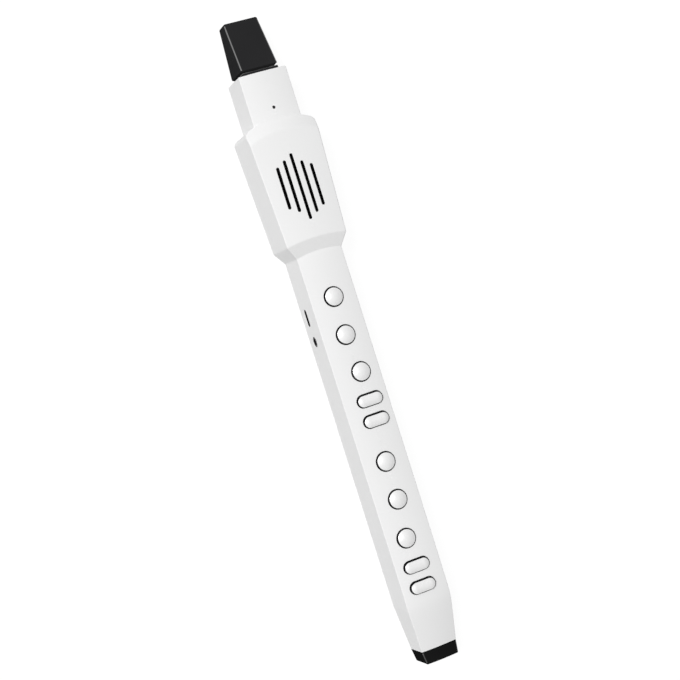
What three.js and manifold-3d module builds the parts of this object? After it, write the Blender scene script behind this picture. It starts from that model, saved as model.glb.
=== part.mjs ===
// Digital wind controller: a slim electronic wind instrument that lies on its back.
// X runs across it, +Y along it towards the mouthpiece, +Z out of the face with the keys.
// While it is built, the face's long edges lie at height 0 and the top finger key at length 0.
// Lengths are in millimetres.
import * as THREE from 'three';
import { mergeVertices } from 'three/addons/utils/BufferGeometryUtils.js';
import Module from 'manifold-3d';

// The tube that carries the keys
const tubeWidth = 24.9;
const tubeDepth = 24.2;
const tubeCrown = 1.0;
const shellWall = 1.8;
const frontEdgeRadius = 0.6;
const backEdgeRadius = 2.4;
const lastKeyToTaper = 9.95;
const taperLength = 24.4;
const tailWidth = 19.9;
const tailFrontDrop = 7.3;
const tailBackRise = 0.8;
const tailCrown = 0.7;

// The speaker housing, wider than the tube and arched at its top
const topKeyToHousing = 23.7;
const lowerBevelRun = 6.6;
const lowerBevelRise = 1.6;
const housingLength = 72.8;
const housingFootWidth = 33.0;
const housingHeadWidth = 38.9;
const housingProud = 3.1;
const housingBackProud = 2.0;
const housingCrown = 1.0;
const housingEdgeRadius = 0.8;
const housingBackRadius = 2.6;
const archRadius = 40;
const archBevelRun = 7.5;
const archBevelDrop = 3.6;
const shoulderRound = 1.8;
const shoulderLift = 0.12;

// The head block, between the housing and the mouthpiece
const headWidth = 26.1;
const headLength = 24.2;
const headEndWall = 2.4;
const headChamfer = 0.6;

// Gaps shared by all pieces
const seatGap = 0.3;
const boardGap = 0.2;
const coverGap = 0.25;
const cutOverrun = 1.0;

// The grille: upright slots in front of the speaker, the middle one longest
const slotWidth = 1.75;
const slotPitch = 4.48;
const middleSlotLength = 35.0;
const innerSlotLength = 27.4;
const outerSlotLength = 22.2;
const slotStagger = 1.2;
const topKeyToGrille = 58.7;

// The finger keys
const roundHoleRadius = 5.4;
const keyGap = 0.45;
const keyProud = 1.35;
const keyDome = 0.75;
const keyEdgeRound = 0.35;
const flangeOverlap = 1.2;
const flangeThickness = 0.8;
const keyTravel = 1.2;
const roundKeyPitch = 20.45;
const upperToLowerKeys = 47.95;
const thirdKeyOffset = 1.9;
const sixthKeyOffset = -1.9;
const pillHoleLength = 14.8;
const pillHoleWidth = 7.3;
const pillPitch = 11.0;
const thirdKeyToPill = 15.0;
const upperPillOffset = 1.9;
const lowerPillOffset = -1.0;

// The silicone keypads and the circuit boards
const padThickness = 0.8;
const padBumpHeight = 0.6;
const padBumpRadius = 2.6;
const padMargin = 1.2;
const boardThickness = 1.6;
const railWidth = 1.2;
const railHeight = 1.2;
const keyBoardAboveTopKey = 10;
const mainBoardLength = 56;
const mainBoardAboveCover = 5.45;
const mainBoardBelowHousing = 3.7;
const headBoardLength = 18;
const headBoardAboveBreath = 5.5;

// The charging socket and the audio socket in the left side
const usbWidth = 8.94;
const usbHeight = 3.2;
const usbLength = 7.3;
const usbShellWall = 0.3;
const usbTongueWidth = 6.7;
const usbTongueThickness = 0.7;
const usbTongueLength = 4.4;
const usbSlotGap = 0.25;
const topKeyToUsb = 6.7;
const jackBarrelRadius = 2.65;
const jackBoreRadius = 1.75;
const jackBoreDepth = 11;
const jackBodyWidth = 6.0;
const jackBodyHeight = 4.8;
const jackBodyLength = 12;
const topKeyToJack = 19.7;

// The power button and the volume rocker in the right side
const sideWidthShare = 0.34;
const powerButtonLength = 7.0;
const volumeRockerLength = 16.0;
const sideButtonProud = 0.7;
const sideButtonGap = 0.25;
const sideFlangeOverlap = 0.35;
const sideTravel = 0.5;
const rockerGap = 0.55;
const rockerPadSpacing = 11.0;
const sideSwitchLength = 3.0;
const sideSwitchWidth = 4.0;
const sidePlungerRadius = 0.9;
const sidePlungerLength = 0.6;
const topKeyToPower = 4.5;
const topKeyToVolume = 22;

// The status light in the head
const lightHoleRadius = 0.85;
const lightGap = 0.1;
const lightFlangeRadius = 1.7;
const lightFlangeThickness = 0.8;
const topKeyToLight = 101.4;
const ledSize = 2.0;

// The speaker, with its gasket and dust screen
const speakerWidth = 27.0;
const speakerLength = 41.0;
const gasketBorder = 1.6;
const gasketThickness = 1.3;
const screenThickness = 0.4;
const screenRibGap = 0.1;
const screenRibSink = 0.5;
const basketFlange = 1.3;
const basketDepth = 6.9;
const basketWall = 0.8;
const magnetRadius = 9.0;
const magnetThickness = 4.0;
const coneThickness = 0.5;
const coneDepth = 3.6;
const coneNeckRadius = 4.5;

// The breath path: mouthpiece, spigot, seal, hose and pressure sensor
const mouthpieceLength = 29.7;
const mouthBaseWidth = 20.1;
const mouthTipWidth = 18.6;
const mouthBaseFront = 1.2;
const mouthTipFront = 9.9;
const mouthBaseBack = 24.0;
const mouthTipBack = 20.3;
const mouthEdgeRadius = 1.3;
const mouthBaseChamfer = 0.9;
const mouthBaseChamferHeight = 1.9;
const mouthTipRound = 1.8;
const mouthTipInset = 0.6;
const tipRunShare = 0.33;
const tipInsetShare = 0.25;
const tipLiftShare = 0.25;
const airSlotWidth = 10.0;
const airSlotHeight = 2.4;
const spigotRadius = 4.3;
const spigotLength = 15.0;
const spigotBoreRadius = 2.4;
const spigotFlangeRadius = 6.4;
const spigotFlangeThickness = 1.3;
const spigotHoleGap = 0.2;
const socketGap = 0.7;
const sealThickness = 1.1;
const sealGrooveDepth = 0.8;
const sealFromHead = 7.0;
const barbRadius = 1.4;
const barbBoreRadius = 0.7;
const barbLength = 4.8;
const hoseBoreRadius = 1.65;
const hoseWall = 0.9;
const sensorSize = 8.0;
const sensorHeight = 5.6;

// The battery pack
const batteryWidth = 17.0;
const batteryLength = 68.0;
const batteryThickness = 7.8;
const batteryEdge = 1.0;
const batteryCorner = 2.0;
const topKeyToBattery = 58;

// The rear cover, the rear keys and the thumb rest
const coverThickness = 2.0;
const coverPanThickness = 3.0;
const headStripOverlap = 4.5;
const rearKeyProud = 0.95;
const rearKeyDome = 0.35;
const thumbKeyRadius = 5.6;
const octaveKeyLength = 14.4;
const octaveKeyWidth = 7.0;
const rearKeyPitch = 13.4;
const topKeyToThumbKey = 9;
const thumbRestWidth = 17.0;
const thumbRestLength = 24.0;
const thumbRestCorner = 3.5;
const thumbRestSink = 0.6;
const topKeyToThumbRest = 106;

// The screws of the rear cover, with the lugs that they turn into
const screwHeadRadius = 1.9;
const screwHeadHeight = 1.2;
const screwShankRadius = 0.9;
const screwHoleGap = 0.25;
const screwSink = 0.3;
const driveWidth = 0.55;
const driveLength = 2.2;
const driveDepth = 0.5;
const lugReach = 2.7;
const lugHeight = 5.2;
const topKeyToMidScrews = 44;
const taperToTailScrews = 10;
const headScrewsFromTop = 8;
const housingScrewInset = 6.5;
const housingScrewSpread = 23.5;

// The end cap
const capLength = 6.8;
const capEndWidth = 18.0;
const capEndRound = 1.0;
const capBackRise = 1.6;
const capPlugLength = 5.0;

// Cables and leads
const ribbonWidth = 5.0;
const ribbonThickness = 0.4;
const leadRadius = 0.6;
const leadSpacing = 2.0;

// Fineness of round shapes
const ringSteps = 20;
const keySteps = 24;
const cornerSteps = 2;
const crownSteps = 7;
const archSteps = 80;
const archFineness = 8;
const domeSteps = 3;
const leadSides = 4;
const screwSides = 12;
const leadSteps = 12;
const endSteps = 5;
const slotEndSteps = 3;

// Places along the length, worked out from the sizes above
const lowerRow = -(2 * roundKeyPitch + upperToLowerKeys);
const upperPills = -(2 * roundKeyPitch + thirdKeyToPill);
const lowerPills = lowerRow - 2 * roundKeyPitch - thirdKeyToPill;
const taperTop = lowerPills - pillPitch - lastKeyToTaper;
const tailEnd = taperTop - taperLength;
const housingFoot = topKeyToHousing;
const housingTop = housingFoot + housingLength;
const headTop = housingTop + headLength;
const mouthFoot = headTop + seatGap;
const mouthTip = mouthFoot + mouthpieceLength;
const capTop = tailEnd - seatGap;
const capEnd = capTop - capLength;
const archCentre = housingTop - archRadius;
const insideHalf = tubeWidth / 2 - shellWall;
const headInsideHalf = headWidth / 2 - shellWall;
const ceiling = -shellWall;
const coverInner = -tubeDepth + coverThickness;
const restLevel = -tubeDepth - housingBackProud;
const breathHeight = -tubeDepth / 2;

const wasm = await Module();
wasm.setup();

// Solids are closed meshes with shared corners, so that they can be joined and cut. A turned
// shape has flat triangles where it meets its axis, and these are left out.
function solid(geometry) {
  const bare = geometry.clone();
  bare.deleteAttribute('normal');
  bare.deleteAttribute('uv');
  const merged = mergeVertices(bare);
  const corners = merged.index.array;
  const faces = [];
  for (let i = 0; i < corners.length; i += 3) {
    const [a, b, c] = [corners[i], corners[i + 1], corners[i + 2]];
    if (a !== b && b !== c && c !== a) faces.push(a, b, c);
  }
  const mesh = new wasm.Mesh({
    numProp: 3,
    vertProperties: new Float32Array(merged.attributes.position.array),
    triVerts: new Uint32Array(faces),
  });
  return new wasm.Manifold(mesh);
}

function joined(first, ...others) {
  return others.reduce((whole, piece) => whole.add(piece), first);
}

function cut(first, ...others) {
  return others.reduce((whole, piece) => whole.subtract(piece), first);
}

// Basic shapes, placed where they belong
function block(low, high) {
  const geometry = new THREE.BoxGeometry(high[0] - low[0], high[1] - low[1], high[2] - low[2]);
  geometry.translate((low[0] + high[0]) / 2, (low[1] + high[1]) / 2, (low[2] + high[2]) / 2);
  return solid(geometry);
}

// Round bars: a post stands along Z, a cross pin lies along X and a length pin along Y.
function post(radius, x, y, lowZ, highZ, steps = ringSteps) {
  const geometry = new THREE.CylinderGeometry(radius, radius, highZ - lowZ, steps);
  geometry.rotateX(Math.PI / 2);
  geometry.translate(x, y, (lowZ + highZ) / 2);
  return solid(geometry);
}

function crossPin(radius, y, z, lowX, highX, steps = ringSteps) {
  const geometry = new THREE.CylinderGeometry(radius, radius, highX - lowX, steps);
  geometry.rotateZ(Math.PI / 2);
  geometry.translate((lowX + highX) / 2, y, z);
  return solid(geometry);
}

function lengthPin(radius, x, z, lowY, highY, steps = ringSteps) {
  const geometry = new THREE.CylinderGeometry(radius, radius, highY - lowY, steps);
  geometry.translate(x, (lowY + highY) / 2, z);
  return solid(geometry);
}

// A flat outline made into a plate that stands from one height to another.
function plate(outline, lowZ, highZ, steps, x = 0, y = 0) {
  const settings = { depth: highZ - lowZ, bevelEnabled: false, curveSegments: steps };
  const geometry = new THREE.ExtrudeGeometry(outline, settings);
  geometry.translate(x, y, lowZ);
  return solid(geometry);
}

// A bar across the object, from an outline in Y and Z.
function sideBar(outline, lowX, highX, y, z) {
  const settings = { depth: highX - lowX, bevelEnabled: false, curveSegments: endSteps };
  const geometry = new THREE.ExtrudeGeometry(outline, settings);
  const turn = new THREE.Matrix4().makeBasis(
    new THREE.Vector3(0, 1, 0),
    new THREE.Vector3(0, 0, 1),
    new THREE.Vector3(1, 0, 0),
  );
  geometry.applyMatrix4(turn);
  geometry.translate(lowX, y, z);
  return solid(geometry);
}

// A plate with one rounded edge: the upper one, or the lower one where it faces down.
function softPlate(outline, lowZ, highZ, round, x, y, facesDown = false) {
  const settings = {
    depth: highZ - lowZ - round,
    bevelThickness: round,
    bevelSize: round,
    bevelOffset: -round,
    bevelSegments: 3,
    curveSegments: endSteps,
  };
  const geometry = new THREE.ExtrudeGeometry(outline, settings);
  geometry.translate(x, y, facesDown ? lowZ + round : lowZ);
  geometry.computeBoundingBox();
  const { min, max } = geometry.boundingBox;
  const spare = facesDown ? [highZ, highZ + 2 * round] : [lowZ - 2 * round, lowZ];
  const low = [min.x - cutOverrun, min.y - cutOverrun, spare[0]];
  const high = [max.x + cutOverrun, max.y + cutOverrun, spare[1]];
  return cut(solid(geometry), block(low, high));
}

// Turned pieces: each outline point is a radius and a place along the axis.
function aboutY(outline, z) {
  const geometry = new THREE.LatheGeometry(outline.map(([r, h]) => new THREE.Vector2(r, h)), ringSteps);
  geometry.translate(0, 0, z);
  return solid(geometry);
}

function aboutZ(outline, x, y, steps = ringSteps) {
  const geometry = new THREE.LatheGeometry(outline.map(([r, h]) => new THREE.Vector2(r, h)), steps);
  geometry.rotateX(Math.PI / 2);
  geometry.translate(x, y, 0);
  return solid(geometry);
}

// Outlines in a plane
function pillOutline(length, width, alongY = false) {
  const half = (length - width) / 2;
  const radius = width / 2;
  const outline = new THREE.Shape();
  if (alongY) {
    outline.absarc(0, half, radius, 0, Math.PI, false);
    outline.absarc(0, -half, radius, Math.PI, 2 * Math.PI, false);
  } else {
    outline.absarc(-half, 0, radius, Math.PI / 2, 1.5 * Math.PI, false);
    outline.absarc(half, 0, radius, -Math.PI / 2, Math.PI / 2, false);
  }
  return outline;
}

function roundedOutline(width, length, corner) {
  const x = width / 2 - corner;
  const y = length / 2 - corner;
  const outline = new THREE.Shape();
  outline.absarc(x, y, corner, 0, Math.PI / 2, false);
  outline.absarc(-x, y, corner, Math.PI / 2, Math.PI, false);
  outline.absarc(-x, -y, corner, Math.PI, 1.5 * Math.PI, false);
  outline.absarc(x, -y, corner, 1.5 * Math.PI, 2 * Math.PI, false);
  return outline;
}

// A ring of corners in the X-Z plane: crowned front, rounded edges. Every ring has as many
// corners, so that any two can be skinned together. lean moves the crowned part along Y.
function ring(y, form) {
  const { half, front, back, crown = 0, frontRound, backRound, lean = 0 } = form;
  const corners = [];
  const bulge = (x) => crown * (1 - (x / half) ** 2);
  const add = (x, z) => corners.push(new THREE.Vector3(x, y + lean * Math.max(0, z - front), z));
  const flat = half - frontRound;
  for (let i = 0; i <= cornerSteps; i += 1) {
    const turn = (Math.PI / 2) * (i / cornerSteps);
    const rise = (frontRound + bulge(flat)) * Math.sin(turn);
    add(-flat - frontRound * Math.cos(turn), front - frontRound + rise);
  }
  for (let i = 1; i < crownSteps; i += 1) {
    const x = -flat + (2 * flat * i) / crownSteps;
    add(x, front + bulge(x));
  }
  for (let i = 0; i <= cornerSteps; i += 1) {
    const turn = (Math.PI / 2) * (i / cornerSteps);
    const rise = (frontRound + bulge(flat)) * Math.cos(turn);
    add(flat + frontRound * Math.sin(turn), front - frontRound + rise);
  }
  for (let i = 0; i <= cornerSteps; i += 1) {
    const turn = (Math.PI / 2) * (i / cornerSteps);
    add(half - backRound + backRound * Math.cos(turn), back + backRound - backRound * Math.sin(turn));
  }
  for (let i = 0; i <= cornerSteps; i += 1) {
    const turn = (Math.PI / 2) * (i / cornerSteps);
    add(-half + backRound - backRound * Math.sin(turn), back + backRound - backRound * Math.cos(turn));
  }
  return corners;
}

// A skin over rings that follow each other, closed by a fan at each end.
function skinned(rings) {
  const count = rings[0].length;
  const corners = rings.flat();
  const faces = [];
  for (let r = 0; r < rings.length - 1; r += 1) {
    for (let i = 0; i < count; i += 1) {
      const a = r * count + i;
      const b = r * count + ((i + 1) % count);
      faces.push(a, b, b + count, a, b + count, a + count);
    }
  }
  const middle = (points) => {
    const sum = points.reduce((total, point) => total.add(point), new THREE.Vector3());
    return sum.divideScalar(count);
  };
  const first = corners.length;
  corners.push(middle(rings[0]), middle(rings[rings.length - 1]));
  const start = (rings.length - 1) * count;
  for (let i = 0; i < count; i += 1) {
    const next = (i + 1) % count;
    faces.push(first, next, i);
    faces.push(first + 1, start + i, start + next);
  }
  const geometry = new THREE.BufferGeometry().setFromPoints(corners);
  geometry.setIndex(faces);
  return solid(geometry);
}

const instrument = new THREE.Group();
instrument.position.set(0, -(mouthTip + capEnd) / 2, -restLevel);

function finish(color, roughness, metalness = 0) {
  return new THREE.MeshStandardMaterial({ color, roughness, metalness });
}

const whitePlastic = finish(0xf2f2f0, 0.42);
const blackPlastic = finish(0x1c1c1d, 0.38);
const pearlKey = finish(0xe4e5e7, 0.22, 0.15);
const softBlack = finish(0x26262a, 0.8);
const greySilicone = finish(0x8d9096, 0.75);
const boardGreen = finish(0x1f5a3c, 0.55);
const metal = finish(0xb9bcc0, 0.3, 1);
const darkMetal = finish(0x55585c, 0.4, 1);
const foil = finish(0xa9adb2, 0.45, 0.6);
const paperCone = finish(0x2b2b2b, 0.9);
const smoked = finish(0x101012, 0.12);

function addPiece(name, whole, material) {
  const mesh = whole.getMesh();
  const geometry = new THREE.BufferGeometry();
  geometry.setAttribute('position', new THREE.BufferAttribute(mesh.vertProperties, 3));
  geometry.setIndex(new THREE.BufferAttribute(mesh.triVerts, 1));
  const piece = new THREE.Mesh(geometry, material);
  piece.name = name;
  instrument.add(piece);
  return piece;
}

// The white case
// One moulding holds the tube, its taper, the speaker housing and the head. It is open at the
// back, where the rear cover closes it.
const edges = { frontRound: frontEdgeRadius, backRound: backEdgeRadius };
const tubeSection = { half: tubeWidth / 2, front: 0, back: -tubeDepth, crown: tubeCrown, ...edges };
const tailSection = {
  half: tailWidth / 2,
  front: -tailFrontDrop,
  back: -tubeDepth + tailBackRise,
  crown: tailCrown,
  ...edges,
};
const headSection = { ...tubeSection, half: headWidth / 2 };
const bevelEnd = housingFoot + lowerBevelRun;
const widening = (housingHeadWidth - housingFootWidth) / 2 / (housingTop - bevelEnd);
const housingHalf = (y) => housingFootWidth / 2 + (y - bevelEnd) * widening;

function drawnIn(form, inset, back) {
  return {
    half: form.half - inset,
    front: form.front - inset,
    back,
    frontRound: Math.max(form.frontRound - inset, frontEdgeRadius / 2),
    backRound: frontEdgeRadius / 2,
  };
}

const housingSection = {
  half: housingFootWidth / 2,
  front: housingProud,
  back: -tubeDepth - housingBackProud,
  crown: housingCrown,
  frontRound: housingEdgeRadius,
  backRound: housingBackRadius,
};

// The plan of the arched top: rounded shoulders and one wide arc, drawn in by the inset.
function archOutline(inset) {
  const radius = archRadius - inset;
  const start = housingHalf(archCentre) - inset;
  const a = 1 + widening ** 2;
  const b = start * widening;
  const rise = (-b + Math.sqrt(b ** 2 - a * (start ** 2 - radius ** 2))) / a;
  const corner = [start + rise * widening, archCentre + rise];
  const low = [corner[0] - shoulderRound * widening + shoulderLift, corner[1] - shoulderRound];
  const turn = Math.atan2(rise, corner[0]) + shoulderRound / radius;
  const wide = housingHeadWidth;
  const outline = new THREE.Shape();
  outline.moveTo(-wide, capEnd);
  outline.lineTo(wide, capEnd);
  outline.lineTo(wide, low[1]);
  outline.lineTo(low[0], low[1]);
  outline.quadraticCurveTo(...corner, radius * Math.cos(turn), archCentre + radius * Math.sin(turn));
  outline.absarc(0, archCentre, radius, turn, Math.PI - turn, false);
  outline.quadraticCurveTo(-corner[0], corner[1], -low[0], low[1]);
  outline.lineTo(-wide, low[1]);
  return outline;
}

// A wide cone about the arch's centre, which slopes the housing's front down to the arch.
function archCone(inset) {
  const outer = archRadius + archBevelRun;
  const slope = archBevelDrop / archBevelRun;
  const height = (r) => housingProud + housingCrown - archBevelDrop - inset + (archRadius - r) * slope;
  const inner = archRadius - 2 * archBevelRun;
  const low = restLevel - 2 * cutOverrun;
  const outline = [
    [0, low],
    [outer, low],
    [outer, height(outer)],
    [inner, height(inner)],
    [0, height(inner)],
  ];
  return aboutZ(outline, 0, archCentre, archSteps);
}

const archTop = housingTop + cutOverrun;
const overHousing = 2 * (housingProud + housingCrown);
const archPlan = (inset) =>
  plate(archOutline(inset), restLevel - 2 * cutOverrun, overHousing, archFineness);

// The tube and the housing share one skin, bent in an arc at both edges of the lower bevel.
const lean = lowerBevelRise / housingCrown;
const longBody = skinned([
  ring(tailEnd, tailSection),
  ring(taperTop, tubeSection),
  ring(housingFoot, { ...tubeSection, lean }),
  ring(bevelEnd, { ...housingSection, lean }),
  ring(archTop, { ...housingSection, half: housingHalf(archTop) }),
]);
const belowArch = block(
  [-housingHeadWidth, capEnd, restLevel - 2 * cutOverrun],
  [housingHeadWidth, archCentre, overHousing],
);
const tubeAndHousing = longBody.intersect(archPlan(0)).intersect(joined(belowArch, archCone(0)));

// The same housing drawn in, for the hollow and for the rear cover
function housingForm(inset, back) {
  const foot = housingFoot + inset;
  const tube = drawnIn(tubeSection, inset, back);
  const full = drawnIn(housingSection, inset, back);
  const body = skinned([
    ring(foot, tube),
    ring(foot + lowerBevelRun, full),
    ring(archTop, { ...full, half: housingHalf(archTop) - inset }),
  ]);
  return body.intersect(archPlan(inset)).intersect(archCone(inset));
}

const headOuter = skinned([
  ring(archCentre, headSection),
  ring(headTop - headChamfer, headSection),
  ring(headTop, {
    ...headSection,
    half: headSection.half - headChamfer,
    front: headSection.front - headChamfer,
    back: headSection.back + headChamfer,
  }),
]);
const outerForm = joined(tubeAndHousing, headOuter);

const openBack = restLevel - cutOverrun;
const coverFoot = taperTop + shellWall;
const headInnerEnd = headTop - headEndWall;
const housingInside = housingForm(shellWall, openBack);
const tubeInside = block(
  [-insideHalf, coverFoot - coverGap, openBack],
  [insideHalf, archCentre, ceiling],
);
const headInside = block(
  [-headInsideHalf, archCentre, openBack],
  [headInsideHalf, headInnerEnd, ceiling],
);
const tailInner = drawnIn(tailSection, shellWall, tailSection.back + shellWall);
const tubeInner = drawnIn(tubeSection, shellWall, -tubeDepth + shellWall);
const tailInside = skinned([
  ring(tailEnd - cutOverrun, tailInner),
  ring(taperTop, tubeInner),
  ring(coverFoot + cutOverrun, tubeInner),
]);

// Where the finger keys sit: three round keys and two pill keys for each hand
const roundKeys = [
  { name: 'upper_key_1', x: 0, y: 0 },
  { name: 'upper_key_2', x: 0, y: -roundKeyPitch },
  { name: 'upper_key_3', x: thirdKeyOffset, y: -2 * roundKeyPitch },
  { name: 'lower_key_1', x: 0, y: lowerRow },
  { name: 'lower_key_2', x: 0, y: lowerRow - roundKeyPitch },
  { name: 'lower_key_3', x: sixthKeyOffset, y: lowerRow - 2 * roundKeyPitch },
];
const pillKeys = [
  { name: 'upper_pill_key_1', x: upperPillOffset, y: upperPills },
  { name: 'upper_pill_key_2', x: upperPillOffset, y: upperPills - pillPitch },
  { name: 'lower_pill_key_1', x: lowerPillOffset, y: lowerPills },
  { name: 'lower_pill_key_2', x: lowerPillOffset, y: lowerPills - pillPitch },
];
const faceSpan = [ceiling - cutOverrun, tubeCrown + cutOverrun];
const pillHole = pillOutline(pillHoleLength, pillHoleWidth);
const faceHoles = [
  ...roundKeys.map(({ x, y }) => post(roundHoleRadius, x, y, ...faceSpan, keySteps)),
  ...pillKeys.map(({ x, y }) => plate(pillHole, ...faceSpan, endSteps, x, y)),
  post(lightHoleRadius, 0, topKeyToLight, ...faceSpan),
];

// The slots left of the middle one sit a little higher and those on its right a little lower.
const slotList = [
  [-2, outerSlotLength],
  [-1, innerSlotLength],
  [0, middleSlotLength],
  [1, innerSlotLength],
  [2, outerSlotLength],
];
function slotPlates(inset, low, high) {
  return slotList.map(([step, length]) => {
    const outline = pillOutline(length - 2 * inset, slotWidth - 2 * inset, true);
    const y = topKeyToGrille - Math.sign(step) * slotStagger;
    return plate(outline, low, high, slotEndSteps, step * slotPitch, y);
  });
}
const housingCeiling = housingProud - shellWall;
const slots = slotPlates(0, housingCeiling - cutOverrun, overHousing);

// Holes in the side walls, for the sockets on the left and the controls on the right. The side
// controls stand midway between the main board and the ledges of the key board.
const mainBoardTop = coverInner + mainBoardAboveCover;
const mainBoardLow = mainBoardTop - boardThickness;
const keyFlangeTop = ceiling - seatGap;
const keyFlangeLow = keyFlangeTop - flangeThickness;
const bumpTop = keyFlangeLow - keyTravel - seatGap;
const padTop = bumpTop - padBumpHeight;
const keyBoardTop = padTop - padThickness - boardGap;
const keyBoardLow = keyBoardTop - boardThickness;
const keyLedgeLow = keyBoardLow - boardGap - railHeight;
const sideHeight = (keyLedgeLow + mainBoardTop) / 2;
const sideButtonWidth = (keyBoardTop - mainBoardLow) * sideWidthShare;
const usbHeightAt = mainBoardTop + boardGap + usbHeight / 2;
const jackHeightAt = mainBoardTop + boardGap + jackBodyHeight / 2;
const rightWall = [insideHalf - cutOverrun, tubeWidth / 2 + cutOverrun];
const leftWall = [-rightWall[1], -rightWall[0]];
const usbHole = pillOutline(usbWidth + 2 * usbSlotGap, usbHeight + 2 * usbSlotGap);
const powerHole = pillOutline(powerButtonLength, sideButtonWidth);
const volumeHole = pillOutline(volumeRockerLength, sideButtonWidth);
const sideHoles = [
  sideBar(usbHole, ...leftWall, -topKeyToUsb, usbHeightAt),
  crossPin(jackBarrelRadius + usbSlotGap, -topKeyToJack, jackHeightAt, ...leftWall),
  sideBar(powerHole, ...rightWall, -topKeyToPower, sideHeight),
  sideBar(volumeHole, ...rightWall, -topKeyToVolume, sideHeight),
];
const spigotHole = lengthPin(
  spigotRadius + spigotHoleGap,
  0,
  breathHeight,
  headInnerEnd - cutOverrun,
  headTop + cutOverrun,
);

// Ledges along the side walls carry the boards, and lugs take the screws. The left ledge of the
// key board ends below the audio socket.
const keyBoardSpan = [coverFoot + boardGap, keyBoardAboveTopKey];
const mainBoardEnd = housingFoot - mainBoardBelowHousing;
const mainBoardSpan = [mainBoardEnd - mainBoardLength, mainBoardEnd];
const headBoardEnd = headInnerEnd - spigotFlangeThickness - 2 * seatGap;
const headBoardSpan = [headBoardEnd - headBoardLength, headBoardEnd];
const headBoardTop = breathHeight + headBoardAboveBreath;
const headBoardLow = headBoardTop - boardThickness;

function ledge(side, half, span, top) {
  const edge = [side * (half - railWidth), side * (half + shellWall / 2)].sort((p, q) => p - q);
  const low = top - boardGap - railHeight;
  return block([edge[0], span[0], low], [edge[1], span[1], top - boardGap]);
}
const belowJack = [keyBoardSpan[0], -topKeyToJack - jackBodyWidth / 2 - seatGap];
const ledges = [
  ledge(-1, insideHalf, belowJack, keyBoardLow),
  ledge(1, insideHalf, keyBoardSpan, keyBoardLow),
  ...[-1, 1].map((side) => ledge(side, insideHalf, mainBoardSpan, mainBoardLow)),
  ...[-1, 1].map((side) => ledge(side, headInsideHalf, headBoardSpan, headBoardLow)),
];

// Screws stand in pairs, one at each side wall.
const upperPair = archCentre + housingScrewSpread;
const lowerPair = bevelEnd + housingScrewInset;
const screwPairs = [
  { y: headInnerEnd - headScrewsFromTop, wall: headInsideHalf, proud: 0 },
  { y: upperPair, wall: housingHalf(upperPair) - shellWall, proud: housingBackProud },
  { y: lowerPair, wall: housingHalf(lowerPair) - shellWall, proud: housingBackProud },
  { y: -topKeyToMidScrews, wall: insideHalf, proud: 0 },
  { y: taperTop + taperToTailScrews, wall: insideHalf, proud: 0 },
];
const screwPlaces = screwPairs.flatMap((pair) =>
  [-1, 1].map((side) => ({ ...pair, side, x: side * (pair.wall - lugReach) })),
);

const lugLow = coverInner + seatGap;
const lugHoleEnd = lugLow + lugHeight - shellWall;
const shankHole = screwShankRadius + screwHoleGap;
const lugs = screwPlaces.map(({ x, y, wall, side }) => {
  const inner = x - side * lugReach;
  const outer = side * (wall + shellWall / 2);
  const low = [Math.min(inner, outer), y - lugReach, lugLow];
  const high = [Math.max(inner, outer), y + lugReach, lugLow + lugHeight];
  const hole = post(shankHole, x, y, lugLow - cutOverrun, lugHoleEnd, screwSides);
  return cut(block(low, high), hole);
});

const caseWalls = cut(outerForm, housingInside, tubeInside, headInside, tailInside);
const caseWithLedges = joined(caseWalls, ...ledges, ...lugs);
const wholeCase = cut(caseWithLedges, ...faceHoles, ...slots, ...sideHoles, spigotHole);
addPiece('body_shell', wholeCase, whitePlastic);

// The rear cover fills the open back, flush with the case, with the same housing bulge.
const coverHalf = insideHalf - coverGap;
const coverHeadHalf = headInsideHalf - coverGap;
const headStripFoot = housingTop - headStripOverlap;
const panSpace = block(
  [-housingHeadWidth, housingFoot, openBack],
  [housingHeadWidth, housingTop, restLevel + coverPanThickness],
);
const coverPlan = joined(
  block([-coverHalf, coverFoot, openBack], [coverHalf, headStripFoot, coverInner]),
  block(
    [-coverHeadHalf, headStripFoot, openBack],
    [coverHeadHalf, headInnerEnd - coverGap, coverInner],
  ),
  housingForm(shellWall + coverGap, openBack).intersect(panSpace),
);
const rearKeys = [
  { name: 'octave_up_key', y: rearKeyPitch - topKeyToThumbKey },
  { name: 'octave_down_key', y: -rearKeyPitch - topKeyToThumbKey },
];
const rearSpan = [-tubeDepth - cutOverrun, coverInner + cutOverrun];
const octaveHole = pillOutline(octaveKeyLength, octaveKeyWidth);
const rearHoles = [
  post(thumbKeyRadius, 0, -topKeyToThumbKey, ...rearSpan, keySteps),
  ...rearKeys.map(({ y }) => plate(octaveHole, ...rearSpan, endSteps, 0, y)),
];
const thumbRestPlate = (gap, low, high) => {
  const size = [thumbRestWidth + 2 * gap, thumbRestLength + 2 * gap];
  const outline = roundedOutline(...size, thumbRestCorner + gap);
  return plate(outline, low, high, slotEndSteps, 0, -topKeyToThumbRest);
};
const thumbRecess = thumbRestPlate(boardGap, openBack, -tubeDepth + thumbRestSink);
const screwRecesses = screwPlaces.flatMap(({ x, y, proud }) => {
  const face = -tubeDepth - proud;
  const seat = face + screwSink + screwHeadHeight + boardGap;
  return [
    post(screwHeadRadius + screwHoleGap, x, y, face - cutOverrun, seat, screwSides),
    post(shankHole, x, y, face, coverInner + cutOverrun, screwSides),
  ];
});
const wholeCover = cut(outerForm.intersect(coverPlan), ...rearHoles, thumbRecess, ...screwRecesses);
addPiece('rear_cover', wholeCover, whitePlastic);

// The thumb rest is a silicone pad set into the cover. The instrument lies on it and on the housing.
const thumbPad = thumbRestPlate(0, restLevel, -tubeDepth + thumbRestSink - boardGap);
addPiece('thumb_rest', thumbPad, greySilicone);

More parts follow.
